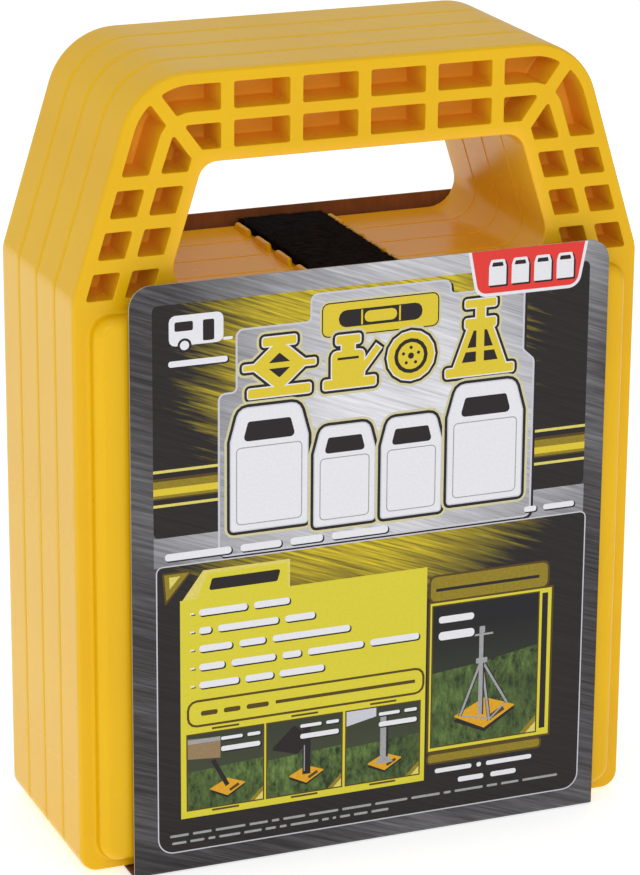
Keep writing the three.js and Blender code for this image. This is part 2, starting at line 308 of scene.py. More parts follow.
def directions(corners, i):
    """The way into and the way out of corner i, as unit vectors."""
    here = Vector(corners[i][:2])
    before = Vector(corners[i - 1][:2])
    after = Vector(corners[(i + 1) % len(corners)][:2])
    return (here - before).normalized(), (after - here).normalized()


def left_of(way):
    return Vector((-way.y, way.x))


def shifted(corners, inset):
    """Corners with every side moved in by inset. Outside corners lose radius and inside ones gain it."""
    moved = []
    for i, (x, z, radius, steps) in enumerate(corners):
        way_in, way_out = directions(corners, i)
        inward = left_of(way_in) + left_of(way_out)
        step = inward * (inset / (1 + way_in.dot(way_out)))
        turns_left = way_in.cross(way_out) >= 0
        new_radius = radius - inset if turns_left else radius + inset
        moved.append((x + step.x, z + step.y, max(new_radius, LEAST_RADIUS), steps))
    return moved


def outline(corners, inset=0.0):
    """Points and outward normals round a rounded outline. The count doesn't depend on the inset."""
    moved = shifted(corners, inset)
    points = []
    for i, (x, z, radius, steps) in enumerate(moved):
        way_in, way_out = directions(moved, i)
        if steps == 0:
            points.append((Vector((x, z)), -(left_of(way_in) + left_of(way_out)).normalized()))
            continue
        turn = way_in.angle_signed(way_out) * -1
        side = 1 if turn > 0 else -1
        start = Vector((x, z)) - way_in * (radius * math.tan(abs(turn) / 2))
        centre = start + left_of(way_in) * (radius * side)
        for k in range(steps + 1):
            spin = Matrix.Rotation(turn * k / steps, 2)
            outward = spin @ -left_of(way_in)
            points.append((centre + outward * (radius * side), outward))
    return points


def cut(loop, normal, limit, radius, steps):
    """The part of a corner loop on one side of a line. The two corners that the line makes are rounded."""
    kept = []
    normal = Vector(normal)
    for i, corner in enumerate(loop):
        after = loop[(i + 1) % len(loop)]
        here = normal.dot(Vector(corner[:2])) - limit
        there = normal.dot(Vector(after[:2])) - limit
        if here >= 0:
            kept.append(corner)
        if here * there < 0:
            share = here / (here - there)
            place = Vector(corner[:2]).lerp(Vector(after[:2]), share)
            kept.append((place.x, place.y, radius, steps))
    return [corner for corner in kept if corner[3] or clear_of_rounds(corner, kept)]


def clear_of_rounds(corner, loop):
    """Whether a point on a curve leaves room for the rounded corners of its loop."""
    here = Vector(corner[:2])
    return all(not other[3] or (Vector(other[:2]) - here).length > ROUND_CLEARANCE for other in loop)


def mirrored(corners):
    return [(-x, z, radius, steps) for x, z, radius, steps in reversed(corners)]


# ----------------------------------------
# Meshes
# ----------------------------------------
def inside(loops, points):
    """Which of the points lie inside the loops taken together, holes left out."""
    x, z = points[:, 0, None], points[:, 1, None]
    crossings = np.zeros(len(points), int)
    for loop in loops:
        a = np.asarray(loop, float)
        b = np.roll(a, -1, axis=0)
        spans = (a[:, 1] > z) != (b[:, 1] > z)
        rise = np.where(a[:, 1] == b[:, 1], 1, b[:, 1] - a[:, 1])
        crossings += (spans & (x < a[:, 0] + (z - a[:, 1]) / rise * (b[:, 0] - a[:, 0]))).sum(1)
    return crossings % 2 == 1


def mesh_object(name, points, faces, materials, normals=None, material_indices=None):
    """An object from points in millimetres, smooth-shaded by true normals where they are given."""
    mesh = bpy.data.meshes.new(name)
    mesh.from_pydata([[c * MM for c in p] for p in points], [], faces)
    for material in materials:
        mesh.materials.append(material)
    if material_indices is not None:
        mesh.polygons.foreach_set("material_index", material_indices)
    if normals is not None:
        mesh.polygons.foreach_set("use_smooth", [True] * len(faces))
        mesh.normals_split_custom_set_from_vertices([Vector(n).normalized() for n in normals])
    made = bpy.data.objects.new(name, mesh)
    bpy.context.scene.collection.objects.link(made)
    return made


class Moulding:
    """A closed surface gathered ring by ring, with the true normal of every point."""

    def __init__(self):
        self.points = []
        self.normals = []
        self.recess_lights = []
        self.faces = []

    def ring(self, corners, inset, y, tilt, side, recess_light=0.0):
        """One ring of an outline at depth y. side is 1 round material and -1 round a hole."""
        first = len(self.points)
        for place, outward in outline(corners, inset):
            level = side * math.cos(tilt)
            self.points.append((place.x, y, place.y))
            self.normals.append((outward.x * level, -math.sin(tilt), outward.y * level))
            self.recess_lights.append(recess_light)
        return range(first, len(self.points))

    def sweep(self, corners, side, profile, recess_light_at=lambda y: 0.0):
        """A wall that follows a profile of (inset, y, tilt). Gives its first and last ring."""
        rings = [self.ring(corners, inset, y, tilt, side, recess_light_at(y)) for inset, y, tilt in profile]
        for upper, lower in zip(rings, rings[1:]):
            self.join(upper, lower)
        return rings[0], rings[-1]

    def join(self, upper, lower):
        count = len(upper)
        for i in range(count):
            k = (i + 1) % count
            self.add_face((upper[i], upper[k], lower[k], lower[i]))

    def add_face(self, corners):
        """Adds a face, turned round if it would face against its points' normals."""
        a, b, c = (Vector(self.points[i]) for i in corners[:3])
        last = Vector(self.points[corners[-1]])
        facing = (b - a).cross(c - a) + (c - a).cross(last - a)
        wanted = sum((Vector(self.normals[i]) for i in corners), Vector())
        self.faces.append(tuple(corners) if facing.dot(wanted) >= 0 else tuple(reversed(corners)))

    def flat(self, rings):
        """Fills the level area between one outer ring and the rings of its holes."""
        numbers = [i for ring in rings for i in ring]
        places = [(self.points[i][0], self.points[i][2]) for i in numbers]
        edges = []
        loops = []
        start = 0
        for ring in rings:
            count = len(ring)
            edges += [(start + i, start + (i + 1) % count) for i in range(count)]
            loops.append(places[start : start + count])
            start += count
        found = delaunay_2d_cdt([Vector(p) for p in places], edges, [], 1, 1e-5)
        coordinates, triangles, sources = found[0], found[2], found[3]
        middles = np.array([sum((coordinates[i] for i in t), Vector((0, 0))) / len(t) for t in triangles])
        kept = inside(loops, middles)
        for triangle, keep in zip(triangles, kept):
            if keep:
                self.add_face([numbers[sources[i][0]] for i in triangle])


ROUND_STEPS = 4


def edge_round(side, radius, y, way, base=0.0, steps=ROUND_STEPS, depth=None):
    """Profile from the flat at y, round an outside edge, to a wall that runs way from it (1 is back).

    depth is how far the round reaches along Y where that isn't its radius.
    """
    depth = depth or radius
    profile = []
    for k in range(steps + 1):
        a = QUARTER * k / steps
        tilt = math.atan2(math.cos(a) / depth, math.sin(a) / radius)
        inset = base + side * radius * (1 - math.sin(a))
        profile.append((inset, y + way * depth * (1 - math.cos(a)), way * tilt))
    return profile


def foot_round(side, radius, y, way, base=0.0, steps=ROUND_STEPS):
    """Profile from a wall that runs way, round an inside corner, onto the flat at y."""
    angles = [QUARTER * k / steps for k in range(steps + 1)]
    return [
        (base - side * radius * (1 - math.cos(a)), y - way * radius * (1 - math.sin(a)), way * a)
        for a in angles
    ]


# ----------------------------------------
# Pads: the front rim is the plane y = 0 and the foot is z = 0, as in the CAD model
# ----------------------------------------
pad_low, pad_high = node_box("pad_1")
PAD_COUNT = 4
PAD_PITCH = node_box("pad_2")[0].y - pad_low.y
PANEL_RISE = 4.6
FIRST_RIM = pad_low.y + PANEL_RISE
PAD_THICKNESS = pad_high.y - FIRST_RIM
PAD_HEIGHT = pad_high.z - pad_low.z
SHELL_HALF_WIDTH = (pad_high.x - pad_low.x) / 2
SHOULDER_HEIGHT = 164.3
ARM_SLOPE = 0.3125
CROWN_HALF_WIDTH = SHELL_HALF_WIDTH - ARM_SLOPE * (PAD_HEIGHT - SHOULDER_HEIGHT)
SHELL_FOOT_RADIUS = 5
SHOULDER_RADIUS = 10
CROWN_RADIUS = 20
SHELL_ROUND = 0.8
SHELL_FRONT_ROUND_DEPTH = 2.0

HANDLE_BAND = 24.6
OPENING_FLOOR = 163.3
OPENING_FLOOR_RADIUS = 8
OPENING_TOP_RADIUS = 5.5
OPENING_ROUND = 0.45
OPENING_RECESS_LIGHT = 0.4  # how much of the painted redder light in the cells, a stand-in for light through the plastic, its walls have
CHANNEL_HALF_WIDTH = 13.3
CHANNEL_CORNER_RADIUS = 0.4
TOP_CHANNEL_DEPTH = 0.15
FOOT_CHANNEL_DEPTH = 1.5

CELL_RINGS = ((3.5, 10.7), (13.9, 21.1))
CELL_FLOOR = PAD_THICKNESS - 2.6
CELL_CORNER = 0.6
CELL_MOUTH_ROUND = 0.22
CELL_FOOT_ROUND = 0.6
CELL_DRAFT = 0.25
RECESS_LIGHT_DEPTH_SHARE = 0.45  # of a cell's depth, below which its painted redder light is full
RIB_WIDTH = 3.7
ARM_CELLS = 3
ARM_RIB_PITCH = 10.95
CROWN_RIB_PITCH = 19.5
BAND_TAIL = 0.3  # of the arm's length, by which a band starts below the shoulder

PANEL_HALF_WIDTH = 78.2
PANEL_BOTTOM = 3.5
PANEL_TOP = 160.6
PANEL_CORNER_RADIUS = 6
PANEL_EDGE_ROUND = 2.7
PANEL_FOOT_ROUND = 1.1
PANEL_DRAFT = 0.3
PANEL_SKIN = 2.6
PANEL_WALL = 2.6

NEST_CLEARANCE = 0.5
NEST_FLOOR = PAD_THICKNESS - PANEL_RISE - NEST_CLEARANCE
NEST_MOUTH_ROUND = 0.4
NEST_FOOT_ROUND = 0.6
GRID_CELLS = 7
GRID_RIB = 2.4
GRID_CORNER = 1.2
GRID_MOUTH_ROUND = 0.3

LUG_THICKNESS = 1.6
LUG_LENGTH = 11.4
LUG_HEIGHT = 1.9
LUG_END_SLOPE = 1.2
LUG_ROUND = 0.6
LUG_CORNER_RADIUS = LUG_ROUND + 0.1
LUG_ROOT = 0.4  # below the opening's floor, so that no gap shows


def channel(floor, depth):
    """Corners of a strap channel in a floor that runs to the right. A negative depth cuts downwards."""
    half = CHANNEL_HALF_WIDTH
    places = [(-half, floor), (-half, floor + depth), (half, floor + depth), (half, floor)]
    return [(x, z, CHANNEL_CORNER_RADIUS, SMALL_ARC_STEPS) for x, z in places]


SHELL_CORNERS = [
    (-SHELL_HALF_WIDTH, 0, SHELL_FOOT_RADIUS, ARC_STEPS),
    *channel(0, FOOT_CHANNEL_DEPTH),
    (SHELL_HALF_WIDTH, 0, SHELL_FOOT_RADIUS, ARC_STEPS),
    (SHELL_HALF_WIDTH, SHOULDER_HEIGHT, SHOULDER_RADIUS, ARC_STEPS),
    (CROWN_HALF_WIDTH, PAD_HEIGHT, CROWN_RADIUS, 2 * ARC_STEPS),
    (-CROWN_HALF_WIDTH, PAD_HEIGHT, CROWN_RADIUS, 2 * ARC_STEPS),
    (-SHELL_HALF_WIDTH, SHOULDER_HEIGHT, SHOULDER_RADIUS, ARC_STEPS),
]
RIGHT_SHOULDER = 6  # its number among the shell's corners
RIGHT_CROWN = 7


def opening_top_corner():
    """The opening's upper right corner: the shell's, moved in by the width of the handle."""
    return shifted(SHELL_CORNERS, HANDLE_BAND)[RIGHT_CROWN][:2]


def opening_corners():
    top_x, top_z = opening_top_corner()
    floor_x = top_x + ARM_SLOPE * (top_z - OPENING_FLOOR)
    return [
        (-floor_x, OPENING_FLOOR, OPENING_FLOOR_RADIUS, ARC_STEPS),
        *channel(OPENING_FLOOR, -TOP_CHANNEL_DEPTH),
        (floor_x, OPENING_FLOOR, OPENING_FLOOR_RADIUS, ARC_STEPS),
        (top_x, top_z, OPENING_TOP_RADIUS, ARC_STEPS),
        (-top_x, top_z, OPENING_TOP_RADIUS, ARC_STEPS),
    ]


def half_band(outside, inside_distance):
    """The right half of a band of the handle, from below the shoulder round to past the middle."""

    def edge(distance):
        corners = shifted(SHELL_CORNERS, distance)
        shoulder, crown = corners[RIGHT_SHOULDER], corners[RIGHT_CROWN]
        run = Vector(crown[:2]) - Vector(shoulder[:2])
        foot = Vector(shoulder[:2]) - run * BAND_TAIL
        bend = max(CROWN_RADIUS - distance, 0)
        path = [(*foot, 0, 0), (*crown[:2], bend, 2 * ARC_STEPS), (-CROWN_RIB_PITCH, crown[1], 0, 0)]
        closed = path + [(-CROWN_RIB_PITCH, foot.y, 0, 0)]
        if bend == 0:
            return [(x, z, 0, 0) for x, z, _, _ in path]
        return [(p.x, p.y, 0, 0) for p, _ in outline(closed)[:-1]]

    return edge(outside) + edge(inside_distance)[::-1]


def handle_cells():
    """The 28 cell mouths: up each arm, round each top corner and along the crown, in two rings."""
    inner = Vector(opening_top_corner())
    diagonal = (Vector((CROWN_HALF_WIDTH, PAD_HEIGHT)) - inner).normalized()
    armward = Vector((diagonal.y, -diagonal.x))
    middle = armward.dot(inner)
    half_rib = RIB_WIDTH / 2
    up, down, right, left = (0, 1), (0, -1), (1, 0), (-1, 0)
    cell_height = ARM_RIB_PITCH - RIB_WIDTH
    feet = [SHOULDER_HEIGHT + row * ARM_RIB_PITCH for row in range(ARM_CELLS + 1)]
    sectors = [((up, foot), (down, -foot - cell_height)) for foot in feet[:-1]]
    sectors.append(((up, feet[-1]), (armward, middle + half_rib)))
    sectors.append(((-armward, half_rib - middle), (right, 2 * CROWN_RIB_PITCH + half_rib)))
    sectors += [
        ((left, half_rib - (k + 1) * CROWN_RIB_PITCH), (right, k * CROWN_RIB_PITCH + half_rib))
        for k in (1, 0)
    ]
    cells = []
    for outside, inside_distance in CELL_RINGS:
        band = half_band(outside, inside_distance)
        for cuts in sectors:
            cell = band
            for normal, limit in cuts:
                cell = cut(cell, normal, limit, CELL_CORNER, SMALL_ARC_STEPS)
            cells += [cell, mirrored(cell)]
    return cells


def grid_cells():
    """The square cells between the support ribs behind the load panel."""
    half = PANEL_HALF_WIDTH - PANEL_WALL
    bottom = PANEL_BOTTOM + PANEL_WALL
    top = PANEL_TOP - PANEL_WALL
    step_x = (2 * half + GRID_RIB) / GRID_CELLS
    step_z = (top - bottom + GRID_RIB) / GRID_CELLS
    cells = []
    for column in range(GRID_CELLS):
        for row in range(GRID_CELLS):
            x = -half + column * step_x
            z = bottom + row * step_z
            sides = (x, x + step_x - GRID_RIB, z, z + step_z - GRID_RIB)
            cells.append(rectangle(*sides, GRID_CORNER, SMALL_ARC_STEPS))
    return cells


def pocket(pad, corners, mouth, floor, mouth_round):
    """A blind cell from its mouth to its floor. Gives the mouth's ring."""
    way = 1 if floor > mouth else -1
    profile = edge_round(-1, mouth_round, mouth, way, steps=3)
    profile += foot_round(-1, CELL_FOOT_ROUND, floor, way, CELL_DRAFT, steps=3)
    deep = abs(floor - mouth)
    # Painted light: the walls turn redder with depth, full below a share of the cell's depth.
    rings = pad.sweep(corners, -1, profile, lambda y: min(abs(y - mouth) / (RECESS_LIGHT_DEPTH_SHARE * deep), 1.0))
    pad.flat([rings[1]])
    return rings[0]


def lug(pad, middle_x):
    """One of the two low lugs that keep the strap in its channel: sloping ends and a rounded crest."""
    tip = OPENING_FLOOR + LUG_HEIGHT
    levels = [(0.0, OPENING_FLOOR - LUG_ROOT, 0.0), (0.0, OPENING_FLOOR, 0.0)]
    angles = [QUARTER * k / ROUND_STEPS for k in range(ROUND_STEPS + 1)]
    levels += [(LUG_ROUND * (1 - math.cos(a)), tip - LUG_ROUND * (1 - math.sin(a)), a) for a in angles]
    rings = []
    for inset, height, tilt in levels:
        slope = LUG_END_SLOPE * max(height - OPENING_FLOOR, 0) / LUG_HEIGHT
        half_x = LUG_THICKNESS / 2
        half_y = LUG_LENGTH / 2 - slope
        loop = rectangle(-half_x, half_x, -half_y, half_y, LUG_CORNER_RADIUS, SMALL_ARC_STEPS)
        first = len(pad.points)
        for place, outward in outline(loop, inset):
            pad.points.append((middle_x + place.x, PAD_THICKNESS / 2 + place.y, height))
            level = math.cos(tilt)
            pad.normals.append((outward.x * level, outward.y * level, math.sin(tilt)))
            pad.recess_lights.append(0.0)
        rings.append(range(first, len(pad.points)))
    for lower, upper in zip(rings, rings[1:]):
        pad.join(lower, upper)
    pad.faces.append(tuple(rings[-1]))
    pad.faces.append(tuple(reversed(rings[0])))


def pad_moulding():
    """One pad, with its rim at y = 0 and its foot at z = 0."""
    pad = Moulding()
    back = PAD_THICKNESS
    shell = edge_round(1, SHELL_ROUND, 0, 1, steps=7, depth=SHELL_FRONT_ROUND_DEPTH)
    shell += edge_round(1, 0.5 * SHELL_ROUND, back, -1, steps=3)[::-1]
    shell_front, shell_back = pad.sweep(SHELL_CORNERS, 1, shell)
    opening = edge_round(-1, OPENING_ROUND, 0, 1) + edge_round(-1, OPENING_ROUND, back, -1)[::-1]
    # The opening's walls get an even share of the painted redder light.
    opening_front, opening_back = pad.sweep(opening_corners(), -1, opening, lambda y: OPENING_RECESS_LIGHT)
    panel = rectangle(-PANEL_HALF_WIDTH, PANEL_HALF_WIDTH, PANEL_BOTTOM, PANEL_TOP, PANEL_CORNER_RADIUS)
    rise = edge_round(1, PANEL_EDGE_ROUND, -PANEL_RISE, 1, PANEL_DRAFT)
    rise += foot_round(1, PANEL_FOOT_ROUND, 0, 1)
    panel_top, panel_foot = pad.sweep(panel, 1, rise)
    cell_mouths = [pocket(pad, cell, 0, CELL_FLOOR, CELL_MOUTH_ROUND) for cell in handle_cells()]
    pad.flat([shell_front, opening_front, panel_foot, *cell_mouths])
    pad.flat([panel_top])
    nest_half = PANEL_HALF_WIDTH + NEST_CLEARANCE
    nest = rectangle(
        -nest_half, nest_half, PANEL_BOTTOM - NEST_CLEARANCE, PANEL_TOP + NEST_CLEARANCE, PANEL_CORNER_RADIUS
    )
    walls = edge_round(-1, NEST_MOUTH_ROUND, back, -1) + foot_round(-1, NEST_FOOT_ROUND, NEST_FLOOR, -1)
    nest_mouth, nest_floor = pad.sweep(nest, -1, walls)
    grid_floor = PANEL_SKIN - PANEL_RISE
    grid_mouths = [pocket(pad, cell, NEST_FLOOR, grid_floor, GRID_MOUTH_ROUND) for cell in grid_cells()]
    pad.flat([nest_floor, *grid_mouths])
    pad.flat([shell_back, opening_back, nest_mouth])
    for side in (-1, 1):
        lug(pad, side * (CHANNEL_HALF_WIDTH + LUG_THICKNESS / 2))
    return pad


def make_pads():
    plastic = pad_plastic()
    pad = pad_moulding()
    bodies = ("first_pad", "second_pad", "third_pad", "last_pad")
    for number, body in enumerate(bodies, 1):
        name = f"jack_pad_{number}"
        made = mesh_object(name, pad.points, pad.faces, [plastic], pad.normals)
        # Each point's share of the painted redder light in the recesses, kept on the mesh for the material.
        recess_light = made.data.attributes.new("recess_light", "FLOAT", "POINT")
        recess_light.data.foreach_set("value", pad.recess_lights)
        made.location = Vector((0, FIRST_RIM + (number - 1) * PAD_PITCH, pad_low.z)) * MM
        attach(made, body)
        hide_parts(f"pad_{number}")


make_pads()

# ----------------------------------------
# Strap: two lengths of fuzzy tape, each an even path of (y, z) with rounded bends
# ----------------------------------------
TAPE_BEND = 2.2
TAPE_THICKNESS = 1.3
TAPE_RISE = 0.85  # of the level run, whose pile keeps it up on the pads
TAPE_STEP = 0.8
TAPE_COLUMNS = 30
TAPE_EDGE_MARGIN = 0.3  # kept free for the ragged edge
TAPE_FACE_MARGIN = 0.08  # kept free for the rough pile
EDGE_POWER = 0.9  # of the section's rounded corners, across the tape
FACE_POWER = 0.22  # the same, through its thickness
RAGGED_POWER = 8  # how sharply the raggedness fades from the edge inwards
PILE_ROUGHNESS = 0.10
EDGE_RAGGEDNESS = 0.22
FIBRES_PER_MM = 13
EDGE_FIBRE_SHARE = 0.55
FACE_FIBRE_SHORTENING = 0.35
FIBRE_CURL = 0.3
FIBRE_TAPER = 0.6
FIBRE_LENGTHS = (0.5, 1.3)
FIBRE_THICKNESS = 0.045
FIBRE_REACH = 0.2  # past the tape's faces. The card is 0.3 away
EDGE_FIBRE_SPREAD = 0.4  # of the tape's thickness, to either side of its middle
EDGE_FIBRE_ROOT = 0.35  # in from the edge
FACE_FIBRE_ROOT = 0.15  # in from the face
FACE_FIBRE_SPREAD = 0.48  # of the tape's width, to either side of its middle


def bent_path(corners, radius, step):
    """Evenly spaced points along a path of straight runs joined by round bends."""
    places = [Vector(corner) for corner in corners]
    points = [places[0]]
    for before, here, after in zip(places, places[1:], places[2:]):
        way_in, way_out = (here - before).normalized(), (after - here).normalized()
        turn = -way_in.angle_signed(way_out)
        side = 1 if turn > 0 else -1
        centre = here - way_in * (radius * math.tan(abs(turn) / 2)) + left_of(way_in) * (radius * side)
        spins = [Matrix.Rotation(turn * k / ARC_STEPS, 2) for k in range(ARC_STEPS + 1)]
        points += [centre - spin @ left_of(way_in) * (radius * side) for spin in spins]
    points.append(places[-1])
    run = np.array(points)
    along = np.concatenate([[0], np.cumsum(np.linalg.norm(np.diff(run, axis=0), axis=1))])
    even = np.linspace(0, along[-1], round(along[-1] / step))
    return np.stack([np.interp(even, along, run[:, k]) for k in (0, 1)], 1), along[-1]


def path_normals(path):
    """The unit normal to the path's left at each of its points."""
    ways = np.gradient(path, axis=0)
    ways /= np.linalg.norm(ways, axis=1)[:, None]
    return np.stack([-ways[:, 1], ways[:, 0]], 1)


def tape(name, path, width, material, seed):
    """A closed band with a rough pile on its faces and slightly ragged edges."""
    chance = np.random.default_rng(seed)
    normals = path_normals(path)
    angles = np.linspace(0, 2 * math.pi, 2 * TAPE_COLUMNS, endpoint=False)
    across = np.sign(np.cos(angles)) * np.abs(np.cos(angles)) ** EDGE_POWER
    height = np.sign(np.sin(angles)) * np.abs(np.sin(angles)) ** FACE_POWER
    count = len(angles)
    points = []
    for place, normal in zip(path, normals):
        ragged = chance.normal(0, EDGE_RAGGEDNESS, 2)
        rough = chance.normal(0, PILE_ROUGHNESS, count)
        for a, h, r in zip(across, height, rough):
            edge = ragged[0] if a > 0 else ragged[1]
            x = a * (width / 2 - TAPE_EDGE_MARGIN) + edge * abs(a) ** RAGGED_POWER
            lift = h * (TAPE_THICKNESS / 2 - TAPE_FACE_MARGIN) + r
            points.append((x, place[0] + normal[0] * lift, place[1] + normal[1] * lift))
    faces = []
    for i in range(len(path) - 1):
        for k in range(count):
            a, b = i * count + k, i * count + (k + 1) % count
            faces.append((a, b, b + count, a + count))
    faces.append(tuple(range(count)))
    faces.append(tuple(reversed(range(len(points) - count, len(points)))))
    made = mesh_object(name, points, faces, [material])
    made.data.polygons.foreach_set("use_smooth", [True] * len(faces))
    return made


def fibres(name, path, width, material, seed):
    """Loose ends of the pile: thin curved hairs along both edges and over both faces of a tape."""
    chance = np.random.default_rng(seed)
    normals = path_normals(path)
    run = len(path) * TAPE_STEP
    limit = TAPE_THICKNESS / 2 + FIBRE_REACH
    points = []
    faces = []
    for _ in range(int(run * FIBRES_PER_MM)):
        i = chance.integers(1, len(path) - 1)
        centre, normal = path[i], normals[i]
        way = np.array([normal[1], -normal[0]])
        on_edge = chance.random() < EDGE_FIBRE_SHARE
        side = chance.choice([-1, 1])
        if on_edge:
            x = side * (width / 2 - EDGE_FIBRE_ROOT)
            lift = chance.uniform(-EDGE_FIBRE_SPREAD, EDGE_FIBRE_SPREAD) * TAPE_THICKNESS
        else:
            x = chance.uniform(-FACE_FIBRE_SPREAD, FACE_FIBRE_SPREAD) * width
            lift = side * (TAPE_THICKNESS / 2 - FACE_FIBRE_ROOT)
        start = np.array([x, *(centre + normal * lift)])
        out_x = side * chance.uniform(0.5, 1.0) if on_edge else chance.normal(0, 0.5)
        out_normal = chance.normal(0, 0.4) if on_edge else side * chance.uniform(0.3, 0.6)
        out_way = chance.normal(0, 0.6)
        heading = np.array([out_x, *(normal * out_normal + way * out_way)])
        heading /= np.linalg.norm(heading)
        length = chance.uniform(*FIBRE_LENGTHS) * (1.0 if on_edge else FACE_FIBRE_SHORTENING)
        curl = chance.normal(0, FIBRE_CURL, 3) * length
        sideways = np.cross(heading, [0.3, 0.5, 0.8])
        sideways /= np.linalg.norm(sideways)
        other = np.cross(heading, sideways)
        first = len(points)
        for share in (0.0, 0.5, 1.0):
            middle = start + heading * length * share + curl * share**2
            away = normal.dot(middle[1:] - centre)
            middle[1:] += normal * (np.clip(away, -limit, limit) - away)
            thick = FIBRE_THICKNESS * (1 - FIBRE_TAPER * share)
            for k in range(3):
                spin = 2 * math.pi * k / 3
                points.append(middle + thick * (sideways * math.cos(spin) + other * math.sin(spin)))
        for row in (0, 3):
            for k in range(3):
                a, b = first + row + k, first + row + (k + 1) % 3
                faces.append((a, b, b + 3, a + 3))
        faces.append((first + 2, first + 1, first))
        faces.append((first + 6, first + 7, first + 8))
    return mesh_object(name, points, faces, [material])


def make_strap():
    """The front length, which runs back under the pads too, and the rear one, which laps over its top."""
    pile = strap_pile()
    fibre = strap_fibre()
    front_low, front_high = node_box("strap_front")
    rear_low, rear_high = node_box("strap_rear")
    width = front_high.x - front_low.x
    half = TAPE_THICKNESS / 2
    front_top = front_high.z + TAPE_RISE - half
    rear_top = rear_high.z + TAPE_RISE - half
    lengths = {
        "front": (
            [
                (front_high.y - 2 * TAPE_BEND, front_top),
                (front_low.y + half, front_top),
                (front_low.y + half, front_low.z + half),
                (front_high.y, front_low.z + half),
            ],
            "strap_front_length",
        ),
        "rear": (
            [
                (rear_low.y, rear_top),
                (rear_high.y - half, rear_top),
                (rear_high.y - half, rear_low.z),
            ],
            "last_pad",
        ),
    }
    for seed, (end, (corners, body)) in enumerate(lengths.items(), 1):
        path, length = bent_path(corners, TAPE_BEND, TAPE_STEP)
        made = tape(f"strap_tape_{end}", path, width, pile, seed)
        hairs = fibres(f"strap_hairs_{end}", path, width, fibre, 10 + seed)
        for piece in (made, hairs):
            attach(piece, body)
        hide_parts(f"strap_{end}")


make_strap()


# ----------------------------------------
# Card sleeve: one board folded round the front, the foot and the back of the pack
# ----------------------------------------
BOARD = 0.5
INK = 0.04
FOLD_RADIUS = 1.0  # of the outer side
FOLD_STEPS = 6
FOLD_COLUMNS = 24
BASE_GAP = 0.05  # from the base to the back fold, which rides another body
CARD_CORNER_RADIUS = 6
card_low, card_high = node_box("card_front_panel")
_, back_high = node_box("card_back_panel")
CARD_LEFT = card_low.x
CARD_WIDTH = card_high.x - card_low.x
CARD_TOP = card_high.z


class Artwork:
    """Flat shapes laid over each other, then parted so that each ink is one thin tile with no overlap.

    Places are in millimetres: u from the card's left edge as one faces it, and height above the
    floor. mark() lays a shape, a list of corner loops, over what is already there.
    """

    def __init__(self, ground, top):
        loop = [
            (0, FOLD_RADIUS, 0, 0),
            (CARD_WIDTH, FOLD_RADIUS, 0, 0),
            (CARD_WIDTH, top, CARD_CORNER_RADIUS, ARC_STEPS),
            (0, top, CARD_CORNER_RADIUS, ARC_STEPS),
        ]
        self.edge = self.traced(loop)
        self.layers = [(ground, [self.edge])]

    @staticmethod
    def traced(loop, grow=0.0):
        return [(p.x, p.y) for p, _ in outline(loop, -grow)]

    def mark(self, ink, *loops, grow=0.0, shift=(0.0, 0.0)):
        """Lays loops over the rest. A loop inside another is a hole, and grow widens the outer one."""
        traced = []
        for i, loop in enumerate(loops):
            moved = [(u + shift[0], z + shift[1], radius, steps) for u, z, radius, steps in loop]
            traced.append(self.traced(moved, grow if i == 0 else -grow))
        self.layers.append((ink, traced))

    def tiles(self):
        """Points, and for each ink its triangles."""
        places = []
        edges = []
        for _, loops in self.layers:
            for loop in loops:
                start = len(places)
                places += [Vector(p) for p in loop]
                edges += [(start + i, start + (i + 1) % len(loop)) for i in range(len(loop))]
        found = delaunay_2d_cdt(places, edges, [], 1, 1e-4)
        coordinates = np.array(found[0])
        triangles = np.array(found[2])
        middles = coordinates[triangles].mean(axis=1)
        painted = np.full(len(triangles), -1)
        for number, (_, loops) in enumerate(self.layers):
            low, high = np.min(loops[0], axis=0), np.max(loops[0], axis=0)
            near = np.flatnonzero(((middles >= low) & (middles <= high)).all(axis=1))
            painted[near[inside(loops, middles[near])]] = number
        painted[~inside([self.edge], middles)] = -1
        inks = {}
        for number, (ink, _) in enumerate(self.layers):
            chosen = triangles[painted == number]
            if len(chosen):
                inks.setdefault(ink, []).extend(chosen.tolist())
        return coordinates, inks


def tile_piece(name, coordinates, triangles, place, depth, materials, back_material=0):
    """A thin closed tile. place(u, z, d) gives a point d behind the printed side."""
    numbers = {}
    for triangle in triangles:
        for i in triangle:
            numbers.setdefault(i, len(numbers))
    count = len(numbers)
    points = [place(*coordinates[i], d) for d in (0.0, depth) for i in numbers]
    faces = []
    indices = []
    open_edges = {}
    for triangle in triangles:
        a, b, c = (numbers[i] for i in triangle)
        faces += [(a, b, c), (c + count, b + count, a + count)]
        indices += [0, back_material]
        for edge in ((a, b), (b, c), (c, a)):
            if edge[::-1] in open_edges:
                del open_edges[edge[::-1]]
            else:
                open_edges[edge] = True
    for a, b in open_edges:
        faces.append((b, a, a + count, b + count))
        indices.append(0)
    return mesh_object(name, points, faces, materials, material_indices=indices)


def box(low_u, high_u, low_z, high_z, radius=0.0):
    return rectangle(low_u, high_u, low_z, high_z, radius, SMALL_ARC_STEPS if radius else 0)


def shape(places, radius=0.0):
    return [(u, z, radius, SMALL_ARC_STEPS if radius else 0) for u, z in places]


def bar_at(u, z, half, low, high, radius=0.0):
    """A box centred on u, between two heights above z."""
    return box(u - half, u + half, z + low, z + high, radius)


def disc(u, z, radius):
    return rectangle(u - radius, u + radius, z - radius, z + radius, radius * 0.999, ARC_STEPS // 2)


def bar_between(start, end, width):
    a, b = Vector(start), Vector(end)
    out = left_of((b - a).normalized()) * (width / 2)
    return shape([tuple(a - out), tuple(b - out), tuple(b + out), tuple(a + out)])


